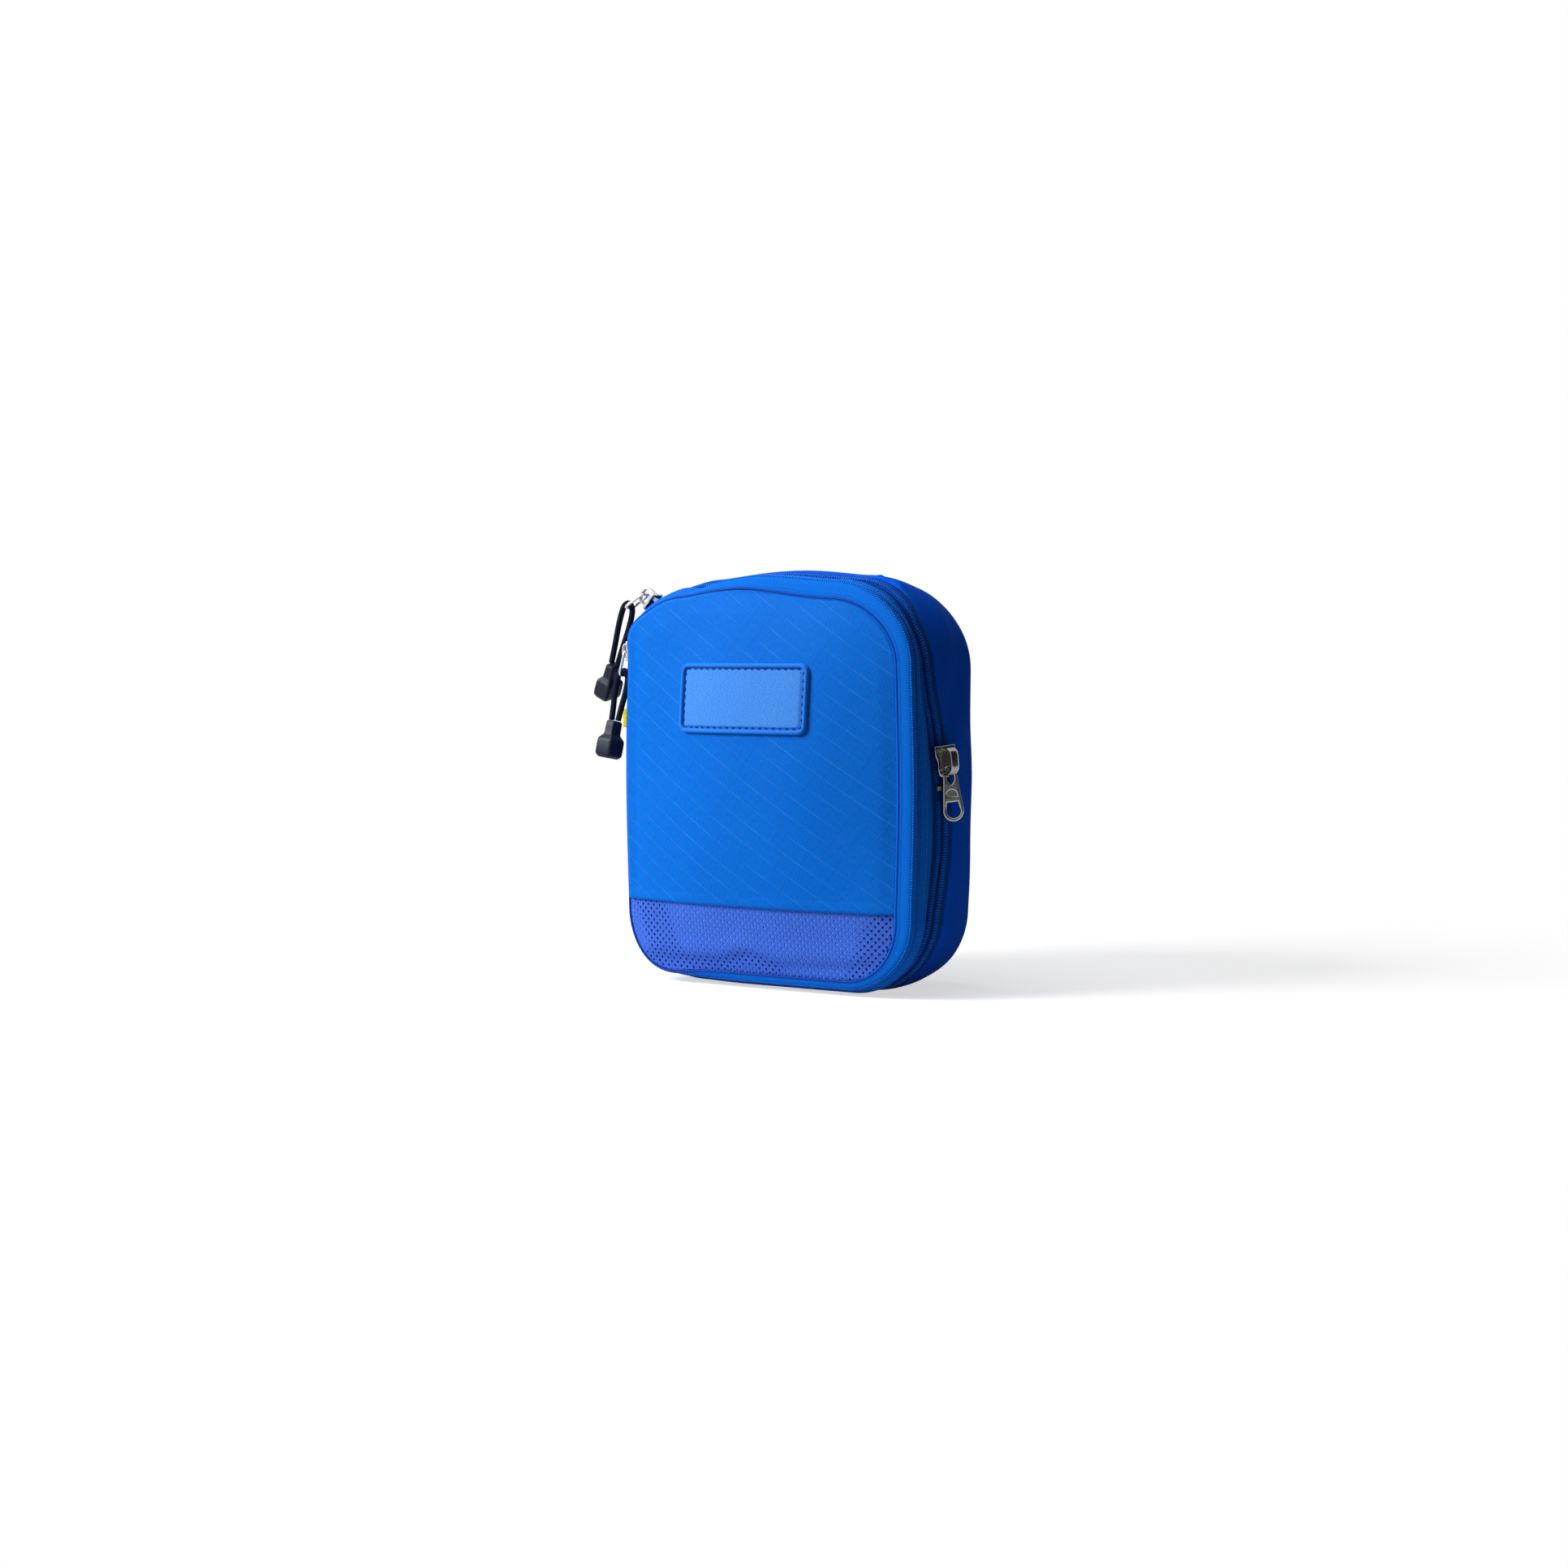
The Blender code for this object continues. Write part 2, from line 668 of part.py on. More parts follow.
def box(low, high):
    bm = bmesh.new()
    bmesh.ops.create_cube(bm, size=1.0)
    size = [b - a for a, b in zip(low, high)]
    centre = [(a + b) / 2 for a, b in zip(low, high)]
    bmesh.ops.scale(bm, vec=size, verts=bm.verts)
    bmesh.ops.translate(bm, vec=centre, verts=bm.verts)
    return bm


def prism(points, low, high, axis):
    """A polygon extruded along a local axis. points are the two other coordinates in cyclic order."""
    bm = bmesh.new()

    def place(u, v, w):
        return {"x": (w, u, v), "y": (v, w, u), "z": (u, v, w)}[axis]

    bottom = [bm.verts.new(place(u, v, low)) for u, v in points]
    top = [bm.verts.new(place(u, v, high)) for u, v in points]
    bm.faces.new(bottom[::-1])
    bm.faces.new(top)
    for i in range(len(points)):
        j = (i + 1) % len(points)
        bm.faces.new((bottom[i], bottom[j], top[j], top[i]))
    return bm


def helper(bm):
    """A closed mesh used only to join to another piece or to cut it."""
    bmesh.ops.recalc_face_normals(bm, faces=bm.faces)
    mesh = bpy.data.meshes.new("helper")
    bm.to_mesh(mesh)
    bm.free()
    obj = bpy.data.objects.new("helper", mesh)
    bpy.context.scene.collection.objects.link(obj)
    obj.hide_render = True
    obj.display_type = "WIRE"
    return obj


def combined(base, others, operation):
    """The bmesh of a base piece joined to, or cut by, the others."""
    body = helper(base)
    tools = [helper(bm) for bm in others]
    for tool in tools:
        modifier = body.modifiers.new(operation.lower(), "BOOLEAN")
        modifier.operation = operation
        modifier.solver = "EXACT"
        modifier.object = tool
    bpy.context.view_layer.update()
    evaluated = body.evaluated_get(bpy.context.evaluated_depsgraph_get())
    bm = bmesh.new()
    bm.from_mesh(evaluated.to_mesh())
    evaluated.to_mesh_clear()
    for obj in [body] + tools:
        bpy.data.objects.remove(obj, do_unlink=True)
    return bm


def plate_outline():
    """Heart-like plan of a slider plate: wide shoulders at the mouth, narrow at the tail."""
    half = SLIDER_LENGTH / 2
    mouth = SLIDER_MOUTH / 2
    tail = SLIDER_TAIL / 2
    side = [
        (-half, tail * PLATE_TAPER), (-half + PLATE_CORNER, tail), (0.0, tail), (PLATE_SHOULDER, mouth),
        (half - PLATE_CORNER, mouth), (half, mouth * PLATE_TAPER),
    ]
    return [(x, -y) for x, y in side] + side[::-1]


def crown_outline(half, low, plate_top, height):
    """Side view of the crown that holds a pull: upright legs under a narrower top."""
    leg = plate_top + height * CROWN_SHOULDER
    top = plate_top + height
    return [
        (-half, low), (half, low), (half, leg),
        (half * CROWN_TOP, top), (-half * CROWN_TOP, top), (-half, leg),
    ]


def slider_mesh(under_plate, over_plate):
    """Two plates on a post, with an arched crown. Local x runs along the zip, y across it, z outwards.

    under_plate and over_plate are the heights of the inner faces of the two plates.
    """
    plan = plate_outline()
    top = over_plate + PLATE
    upper = prism(plan, over_plate, top, "z")
    lower = prism(plan, under_plate - PLATE, under_plate, "z")
    post_x = SLIDER_LENGTH / 2 - POST_LENGTH - POST_SETBACK
    half_post = POST_WIDTH / 2
    sink = PLATE / 2
    post = box((post_x, -half_post, under_plate - sink), (post_x + POST_LENGTH, half_post, over_plate + sink))
    arch = crown_outline(CROWN_LENGTH / 2, top - sink, top, CROWN_HEIGHT)
    window = crown_outline(CROWN_LENGTH / 2 - CROWN_WALL, top, top, CROWN_HEIGHT - CROWN_WALL)
    half_width = CROWN_WIDTH / 2
    arch_solid = prism([(v, u) for u, v in arch], -half_width, half_width, "y")
    window_solid = prism([(v, u) for u, v in window], -CROWN_WIDTH, CROWN_WIDTH, "y")
    crown = combined(arch_solid, [window_solid], "DIFFERENCE")
    return combined(upper, [lower, post, crown], "UNION")


def framed(bm, along, out, place):
    """Moves a piece from its local frame: x along the zip, z outwards."""
    along = along.normalized()
    out = (out - along * out.dot(along)).normalized()
    across = out.cross(along)
    turn = Matrix((along, across, out)).transposed().to_4x4()
    turn.translation = place
    bmesh.ops.transform(bm, matrix=turn, verts=bm.verts)
    return bm


def crown_hole(over_plate):
    """Height of the pull's pivot in the crown's window."""
    return over_plate + PLATE + (CROWN_HEIGHT - CROWN_WALL) * 0.5


FRONT_OVER_PLATE = EDGE_INSET + SLIDER_CLEARANCE
SLIDER_ARC_SAG = SLIDER_LENGTH ** 2 / (8 * TOP_CORNER)
FRONT_UNDER_PLATE = -(LID_TAPE_WALL + GAP + COIL_HEIGHT + SLIDER_CLEARANCE + SLIDER_ARC_SAG)
METAL_OVER_PLATE = CHAIN_HEIGHT + GAP + SLIDER_CLEARANCE
METAL_UNDER_PLATE = -(TAPE + SLIDER_CLEARANCE)


def tube(name, points, radius, material_name, parent, cyclic=False, resolution=2):
    curve = bpy.data.curves.new(name, "CURVE")
    curve.dimensions = "3D"
    curve.bevel_depth = radius
    curve.bevel_resolution = resolution
    curve.use_fill_caps = not cyclic
    spline = curve.splines.new("POLY")
    spline.points.add(len(points) - 1)
    for target, p in zip(spline.points, points):
        target.co = (*p, 1.0)
    spline.use_cyclic_u = cyclic
    spline.use_smooth = True
    curve.materials.append(material(material_name))
    obj = bpy.data.objects.new(name, curve)
    bpy.context.scene.collection.objects.link(obj)
    hang(obj, parent)
    return obj


def catmull(points, steps):
    """A smooth curve through a few points of a route."""
    ends = [points[0] * 2 - points[1]] + points + [points[-1] * 2 - points[-2]]
    curve = []
    for a, b, c, d in zip(ends, ends[1:], ends[2:], ends[3:]):
        for i in range(steps):
            t = i / steps
            curve.append(0.5 * (2 * b + (c - a) * t + (2 * a - 5 * b + 4 * c - d) * t * t
                                + (3 * b - 3 * c + d - a) * t ** 3))
    curve.append(points[-1])
    return curve


def hanging(lean_deg):
    """Unit vector that hangs down and leans out to the left."""
    lean = math.radians(lean_deg)
    return Vector((-math.sin(lean), 0, -math.cos(lean)))


def build_bail(name, top, lean, parent):
    """A bent wire loop whose top bar passes through the crown. Returns the middle of its far bar."""
    down = hanging(lean)
    across = Vector((0, 1, 0))
    half = BAIL_WIDTH / 2 - BAIL_WIRE / 2
    far = BAIL_LENGTH - BAIL_WIRE
    neck = half * BAIL_NECK
    plan = [(-neck + BAIL_BEND, 0.0), (neck - BAIL_BEND, 0.0), (neck, BAIL_BEND)]
    plan += arc_points((half - BAIL_CORNER, far - BAIL_CORNER), BAIL_CORNER, 0, 90, 5)
    plan += arc_points((-half + BAIL_CORNER, far - BAIL_CORNER), BAIL_CORNER, 90, 180, 5)
    plan.append((-neck, BAIL_BEND))
    points = [top + across * u + down * v for u, v in plan]
    tube(name, points, BAIL_WIRE / 2, "nickel", parent, cyclic=True, resolution=2)
    return top + down * far


def grip_mesh():
    """A moulded grip: a neck over a wider block. Local z runs down from its top face."""
    neck = GRIP_NECK_WIDTH / 2
    wide = GRIP_WIDTH / 2
    side = [
        (neck, 0.0), (neck, GRIP_NECK_HEIGHT), (wide, GRIP_NECK_HEIGHT + GRIP_SLOPE),
        (wide, GRIP_HEIGHT - GRIP_FOOT), (wide - GRIP_FOOT, GRIP_HEIGHT),
    ]
    plan = side + [(-u, v) for u, v in side[::-1]]
    bm = prism([(v, u) for u, v in plan], -GRIP_DEPTH / 2, GRIP_DEPTH / 2, "y")
    for vert in bm.verts:
        if vert.co.z < GRIP_NECK_HEIGHT + GAP:
            vert.co.y *= GRIP_NECK_DEPTH / GRIP_DEPTH
    bmesh.ops.recalc_face_normals(bm, faces=bm.faces)
    rims = [e for e in bm.edges if abs(e.verts[0].co.y - e.verts[1].co.y) < 1e-7]
    bmesh.ops.bevel(bm, geom=rims, offset=GRIP_CHAMFER, segments=1, affect="EDGES")
    return bm


def build_pull(prefix, pivot_place, bail_lean, cord_drop, grip_lean, grip_side, slider):
    """A wire bail, a looped cord and a moulded grip, which swing together on a slider."""
    swing = pivot(prefix + "_pull_pivot", pivot_place, slider)
    far = build_bail(prefix + "_pull_bail", pivot_place, bail_lean, swing)
    down = (hanging(grip_lean) * cord_drop + Vector((0, grip_side, 0))).normalized()
    across = down.cross(Vector((0, 1, 0))).normalized()
    loop_in = CORD_LOOP_WIDTH / 2
    ends_in = CORD_GRIP_SPACING / 2
    grip_top = far + down * cord_drop
    ride = BAIL_WIRE / 2 + CORD_DIAMETER / 2 + GAP
    half_route = [
        (cord_drop - GAP, ends_in), (cord_drop * CORD_WAIST, ends_in * CORD_WAIST_SPREAD),
        (cord_drop * CORD_BELLY, loop_in), (ride * CORD_SHOULDER, loop_in * CORD_SHOULDER_SPREAD),
    ]
    route = [far + down * v + across * u for v, u in half_route]
    route.append(far - down * ride)
    route += [far + down * v - across * u for v, u in reversed(half_route)]
    tube(prefix + "_pull_cord", catmull(route, CORD_STEPS), CORD_DIAMETER / 2, "navy_cord", swing)
    bm = framed(grip_mesh(), across, down, grip_top)
    finish(prefix + "_pull_grip", bm, "navy_rubber", swing)


def build_front_slider(prefix, place, along, out, swing_data, frame):
    home = pivot(prefix + "_slider_home", place, frame)
    bm = framed(slider_mesh(FRONT_UNDER_PLATE, FRONT_OVER_PLATE), along, out, place)
    finish(prefix + "_slider", bm, "nickel", home)
    top = place + out.normalized() * crown_hole(FRONT_OVER_PLATE)
    build_pull(prefix, top, *swing_data, home)


def upper_slider_place():
    angle = math.radians(UPPER_SLIDER_ANGLE)
    centre = Vector((-HALF_WIDTH + TOP_CORNER, 0, HEIGHT - TOP_CORNER))
    out = Vector((math.cos(angle), 0, math.sin(angle)))
    place = centre + out * (TOP_CORNER - EDGE_INSET)
    place.y = FRONT_SEAM_Y + FRONT_SPLIT_DEPTH
    along = Vector((math.sin(angle), 0, -math.cos(angle)))
    return place, along, out


def side_arch(z, top_corner):
    """How far a side wall has swollen at a height: 1 at its middle."""
    share = (z - BASE_CORNER) / (HEIGHT - top_corner - BASE_CORNER)
    return 1 - (2 * share - 1) ** 2


def left_split(z):
    """A point on the left side, at the middle of the front zipper's tapes."""
    x = -(HALF_WIDTH - EDGE_INSET + SIDE_BULGE * side_arch(z, TOP_CORNER))
    return Vector((x, FRONT_SEAM_Y + FRONT_SPLIT_DEPTH, z))


def lower_slider_place():
    place = left_split(LOWER_SLIDER_Z)
    along = (place - left_split(LOWER_SLIDER_Z - LOWER_SLIDER_TRAVEL)).normalized()
    return place, along, Vector((-along.z, 0, along.x))


def chain_place(z):
    """A point on the right side, at the middle of the compression zipper's tapes."""
    arch = side_arch(z, WIDE_TOP_CORNER)
    x = HALF_WIDTH - GROOVE + SIDE_BULGE * arch
    return Vector((x, FRONT_SEAM_Y + REAR_SPLIT_DEPTH + RIGHT_DRIFT * arch, z))


def metal_along():
    return (chain_place(METAL_SLIDER_Z + METAL_SLIDER_TRAVEL) - chain_place(METAL_SLIDER_Z)).normalized()


def arc_points(centre, radius, start_deg, end_deg, steps):
    points = []
    for i in range(steps + 1):
        angle = math.radians(start_deg + (end_deg - start_deg) * i / steps)
        points.append((centre[0] + radius * math.cos(angle), centre[1] + radius * math.sin(angle)))
    return points


def tab_mesh():
    """The metal pull: an eye at its top, a plain middle and a D-shaped window in its round end.

    Local x runs down from the pivot, y across and z out.
    """
    neck = TAB_NECK_WIDTH / 2
    wide = TAB_WIDTH / 2
    top = -TAB_BAR / 2
    round_x = TAB_LENGTH + top - wide
    shape = [(top, -neck * TAB_TOP), (top + TAB_CORNER, -neck)]
    shape += arc_points((round_x, 0), wide, -90, 90, 10)
    shape += [(top + TAB_CORNER, neck), (top, neck * TAB_TOP)]
    half = TAB_THICKNESS / 2
    plate = prism(shape, -half, half, "z")
    reach = TAB_THICKNESS
    eye_start = TAB_BAR / 2
    eye_wide = neck - TAB_BAR
    eye_round = CROWN_LENGTH / 2 + 2 * GAP - eye_wide
    eye = [(eye_start, -eye_wide)]
    eye += arc_points((eye_round, 0), eye_wide, -90, 90, 8)
    eye += [(eye_start, eye_wide)]
    window_flat = round_x - TAB_WINDOW
    window_wide = wide - TAB_BAR
    window = [(window_flat, -window_wide)]
    window += arc_points((round_x, 0), window_wide, -90, 90, 8)
    window += [(window_flat, window_wide)]
    cutters = [prism(points, -reach, reach, "z") for points in (eye, window)]
    return combined(plate, cutters, "DIFFERENCE")


def build_metal_slider(root):
    place = chain_place(METAL_SLIDER_Z)
    out = Vector((1, 0, 0))
    along = metal_along()
    home = pivot("compression_slider_home", place, root)
    bm = framed(slider_mesh(METAL_UNDER_PLATE, METAL_OVER_PLATE), along, out, place)
    finish("compression_slider", bm, "gunmetal", home)
    top = place + out * crown_hole(METAL_OVER_PLATE)
    swing = pivot("compression_pull_pivot", top, home)
    finish("compression_pull_tab", framed(tab_mesh(), -along, out, top), "gunmetal", swing)


def build_chain_stop(frame):
    """The small clamped stop where the ends of the compression zipper meet."""
    z = (CHAIN_GAP_LOW + CHAIN_GAP_HIGH) / 2
    across = (SPLIT_SLIT + COIL_WIDTH) / 2
    bm = box((-STOP_LENGTH / 2, -STOP_WIDTH / 2, GAP), (STOP_LENGTH / 2, STOP_WIDTH / 2, GAP + STOP_HEIGHT))
    bmesh.ops.bevel(bm, geom=bm.edges[:], offset=STOP_EDGE, segments=1, affect="EDGES")
    place = chain_place(z) - Vector((0, across, 0))
    finish("compression_zip_stop", framed(bm, Vector((0, 0, 1)), Vector((1, 0, 0)), place), "nickel", frame)


def main():
    clear_scene()
    root = pivot("rear_shell", (0, 0, 0))
    frame = pivot("front_frame", (0, FRONT_SEAM_Y + REAR_SPLIT_DEPTH, 0), root)
    fold_y = FRONT_SEAM_Y - dome_depth(FOLD_X, MIDDLE_Z)
    lid = pivot("front_lid", (FOLD_X, fold_y, MIDDLE_Z), frame)
    build_panels(frame, lid)
    build_patch(lid)
    build_front_zipper(frame, lid)
    build_compression_zipper(root, frame)
    build_rear_shell(root)
    build_pleat(root)
    build_ribbon_tab(frame)
    upper = (UPPER_BAIL_LEAN, UPPER_CORD_DROP, UPPER_GRIP_LEAN, UPPER_GRIP_SIDE)
    lower = (LOWER_BAIL_LEAN, LOWER_CORD_DROP, LOWER_GRIP_LEAN, LOWER_GRIP_SIDE)
    build_front_slider("upper", *upper_slider_place(), upper, frame)
    build_front_slider("lower", *lower_slider_place(), lower, frame)
    build_metal_slider(root)
    build_chain_stop(frame)


main()
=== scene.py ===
"""Looks of a soft packing cube: cloth, zippers, pulls and studio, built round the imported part.

Metres, +Z up, in the part's own frame: the front faces -Y and the cube stands on z = 0.
Depths run back from the front panel's seam and insets run inwards from the widest outline.
"""

import math

import bmesh
import bpy
import numpy as np
from mathutils import Matrix, Vector, noise


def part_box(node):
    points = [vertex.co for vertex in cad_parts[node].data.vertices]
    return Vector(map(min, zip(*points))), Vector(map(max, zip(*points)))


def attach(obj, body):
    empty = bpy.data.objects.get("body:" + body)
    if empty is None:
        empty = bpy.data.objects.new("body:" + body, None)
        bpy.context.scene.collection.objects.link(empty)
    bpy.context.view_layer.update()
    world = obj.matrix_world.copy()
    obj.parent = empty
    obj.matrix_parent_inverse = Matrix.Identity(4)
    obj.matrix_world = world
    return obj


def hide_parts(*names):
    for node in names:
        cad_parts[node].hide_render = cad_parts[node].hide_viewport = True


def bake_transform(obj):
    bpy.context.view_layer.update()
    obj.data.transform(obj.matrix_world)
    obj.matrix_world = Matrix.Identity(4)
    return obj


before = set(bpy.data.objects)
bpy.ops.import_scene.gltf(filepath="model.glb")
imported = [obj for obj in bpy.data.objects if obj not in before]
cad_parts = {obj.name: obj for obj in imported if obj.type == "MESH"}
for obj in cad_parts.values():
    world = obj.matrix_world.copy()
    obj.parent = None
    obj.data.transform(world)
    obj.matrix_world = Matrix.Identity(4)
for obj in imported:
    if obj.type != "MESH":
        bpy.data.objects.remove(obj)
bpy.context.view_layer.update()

# Outline of the body, as in the part
HALF_WIDTH = 0.0885
HEIGHT = 0.2150
TOP_CORNER = 0.036
BASE_CORNER = 0.040
WIDE_TOP_CORNER = 0.048
REAR_LEFT_CORNER = 0.054
TOP_BULGE = 0.0030
SIDE_BULGE = 0.0015
MIDDLE_Z = HEIGHT / 2
FRONT_SEAM_Y = -0.0330
DOME = 0.0130

# Front panel, its seams and the front zipper
SEAM_INSET = 0.0087
PILLOW = 0.0006
PILLOW_SHARE = 0.11
LEFT_WRAP_FROM = 0.020
LEFT_WRAP_TO = 0.080
BASE_SQUEEZE = 0.50
TOP_SAG = 0.0045
TOP_TUCK = 0.30
BASE_LIFT = 0.0028
SLANT_Z = (0.020, 0.050, 0.072, 0.092, 0.105, 0.120, 0.138, 0.161, 0.190, 0.210)
SLANT = (0.0, 0.0045, 0.0060, 0.0040, 0.0020, 0.0, -0.0022, -0.0066, -0.0105, -0.0030)
FRONT_SHIFT = 0.0054
TOP_WRAP_FROM = -0.005
TOP_WRAP_TO = 0.056
TOP_LEFT_TAPE = 0.30
CORNER_DROP = 0.0018
CORNER_FILL = 0.0014
SLIDER_SINK = 0.0035
WRAP_POWER = 7
MESH_SEAM_Z = 0.0440
FOLD_X = -0.0680
FRONT_SPLIT_DEPTH = 0.0100
EDGE_INSET = 0.0008
BODY_TAPE_END = 0.0164
BODY_TAPE_DRIFT = 0.6
SLIT = 0.0008
FRONT_SLIT = 0.0018

# Compression zipper and rear shell
REAR_SPLIT_DEPTH = 0.0240
TAPE_FLAT_WIDTH = 0.0050
TAPE_WIDTH = 0.0072
GROOVE = 0.0026
RIGHT_DRIFT = 0.0060
LEFT_DRIFT = 0.0020
GUSSET_FLAT_DEPTH = 0.052
GUSSET_DRIFT = 0.3
GUSSET_TURN_DEPTH = 0.068
GUSSET_TURN_INSET = 0.0030
BACK_SEAM_DEPTH = 0.0770
BACK_SEAM_INSET = 0.0110
BACK_BULGE = 0.0030
CHAIN_TILT = 0.5
PLEAT_FOLD_INSET = 0.0150
PLEAT_SLACK = 0.0045
PLEAT_WALL = 0.0008
GAP = 0.0003
BODY_WALL = 0.0010
LID_WALL = 0.0016
GUSSET_WALL = 0.0012
BINDING_WIDTH = 0.0055
FRONT_BINDING_WIDTH = 0.0025
COIL_WIDTH = 0.0026
COIL_HEIGHT = 0.0020

PATCH_WIDTH = 0.0790
PATCH_HEIGHT = 0.0365
PATCH_X = -0.0060
PATCH_Z = 0.1520
PATCH_CORNER = 0.0050
PATCH_POINTS = 440
PATCH_STITCH_PITCH = 0.0040
BORDER_WIDTH = 0.0025
BORDER_HEIGHT = 0.0017

UPPER_SLIDER = (-0.077390, -0.0230, 0.203890)
LOWER_SLIDER = (-0.087827, -0.0230, 0.176000)
LOWER_ALONG = (0.03507, 0.0, 0.999385)
UPPER_PIVOT = (-0.080289, -0.0230, 0.206789)
LOWER_PIVOT = (-0.091924, -0.0230, 0.176144)
METAL_PLACE = (0.087294, -0.003425, 0.1204)
METAL_ALONG = (-0.021785, -0.06, 0.998)
METAL_TURN = 10.0
TAB_TURN = 52.0
TAB_LEAN = 6.0
TAB_PIVOT = (0.093094, -0.003425, 0.1204)
TAB_LENGTH = 0.0288
TAB_WIDTH = 0.0112
TAB_NECK = 0.0070
TAB_THICKNESS = 0.0019
TAB_BAR = 0.0016
TAB_HANG = 0.0030
TAB_EDGE = 0.0008
TAB_RIM = 0.0020

BAIL_WIRE = 0.0016
BAIL_WIDTH = 0.0096
BAIL_LENGTH = 0.0150
BAIL_CORNER = 0.0030
BAIL_BEND = 0.0012
BAIL_NECK = 0.86
CORD_DIAMETER = 0.0032
CORD_LOOP = 0.0035
CORD_ENDS = 0.0021
CORD_SIDES = 36
CORD_STEP = 0.0002
BRAID_STRANDS = 6
BRAID_PITCH = 0.0017
BRAID_DEPTH = 0.10
GRIP_SECTIONS = [
    (0.0000, 0.0008, 0.0010, 0.0003), (0.0000, 0.0042, 0.0060, 0.0010), (0.0003, 0.0052, 0.0074, 0.0011),
    (0.0009, 0.0057, 0.0080, 0.0011), (0.0040, 0.0058, 0.0082, 0.0010), (0.0072, 0.0059, 0.0084, 0.0010),
    (0.0080, 0.0063, 0.0089, 0.0010), (0.0098, 0.0090, 0.0120, 0.0011), (0.0106, 0.0096, 0.0127, 0.0012),
    (0.0116, 0.0098, 0.0130, 0.0012), (0.0150, 0.0099, 0.0131, 0.0012), (0.0180, 0.0098, 0.0130, 0.0012),
    (0.0190, 0.0094, 0.0126, 0.0013), (0.0202, 0.0076, 0.0108, 0.0014), (0.0205, 0.0066, 0.0098, 0.0014),
    (0.0205, 0.0008, 0.0010, 0.0003),
]

RIBBON_X = -0.0903
RIBBON_Z = 0.1400
RIBBON_HEIGHT = 0.0100
RIBBON_DEPTH = 0.0165

# Resolution of the outline and of the front panel
BASE_STEPS = 44
SIDE_STEPS = 64
TOP_STEPS = 44
CORNER_STEPS = 26
ARCH_POWER = 1.25

# Camera
CAMERA_YAW = 31.18
CAMERA_ELEVATION = 3.06
CAMERA_DISTANCE = 1.2797
CAMERA_TARGET = Vector((0.0, 0.0066, 0.1090))
CAMERA_LENS = 55.1
CAMERA_SHIFT = (-0.0114, -0.0040)


# Camera, floor and light


def build_camera():
    yaw = math.radians(CAMERA_YAW)
    elevation = math.radians(CAMERA_ELEVATION)
    level = math.cos(elevation)
    back = Vector((math.sin(yaw) * level, -math.cos(yaw) * level, math.sin(elevation)))
    data = bpy.data.cameras.new("camera")
    data.lens = CAMERA_LENS
    data.sensor_width = 36.0
    data.shift_x, data.shift_y = CAMERA_SHIFT
    camera = bpy.data.objects.new("camera", data)
    camera.location = CAMERA_TARGET + back * CAMERA_DISTANCE
    camera.rotation_euler = back.to_track_quat("Z", "Y").to_euler()
    bpy.context.scene.collection.objects.link(camera)
    bpy.context.scene.camera = camera


def add_area_light(name, place, aim, size, power):
    data = bpy.data.lights.new(name, "AREA")
    data.shape = "DISK"
    data.size = size
    data.energy = power
    light = bpy.data.objects.new(name, data)
    light.location = place
    light.rotation_euler = (Vector(place) - Vector(aim)).to_track_quat("Z", "Y").to_euler()
    bpy.context.scene.collection.objects.link(light)


def seen_directly(tree):
    """A socket that is 1 for camera rays, reflections and glass, and 0 for light on the object."""
    path = tree.nodes.new("ShaderNodeLightPath")
    total = path.outputs["Is Camera Ray"]
    for name in ("Is Glossy Ray", "Is Transmission Ray"):
        node = tree.nodes.new("ShaderNodeMath")
        node.operation = "MAXIMUM"
        tree.links.new(total, node.inputs[0])
        tree.links.new(path.outputs[name], node.inputs[1])
        total = node.outputs[0]
    return total


def build_world(ambient):
    world = bpy.data.worlds.new("studio")
    world.use_nodes = True
    tree = world.node_tree
    tree.nodes.clear()
    shown = tree.nodes.new("ShaderNodeBackground")
    shown.inputs["Color"].default_value = (1, 1, 1, 1)
    light = tree.nodes.new("ShaderNodeBackground")
    light.inputs["Color"].default_value = (0.93, 0.96, 1.0, 1)
    light.inputs["Strength"].default_value = ambient
    mix = tree.nodes.new("ShaderNodeMixShader")
    out = tree.nodes.new("ShaderNodeOutputWorld")
    tree.links.new(seen_directly(tree), mix.inputs["Fac"])
    tree.links.new(light.outputs[0], mix.inputs[1])
    tree.links.new(shown.outputs[0], mix.inputs[2])
    tree.links.new(mix.outputs[0], out.inputs["Surface"])
    bpy.context.scene.world = world


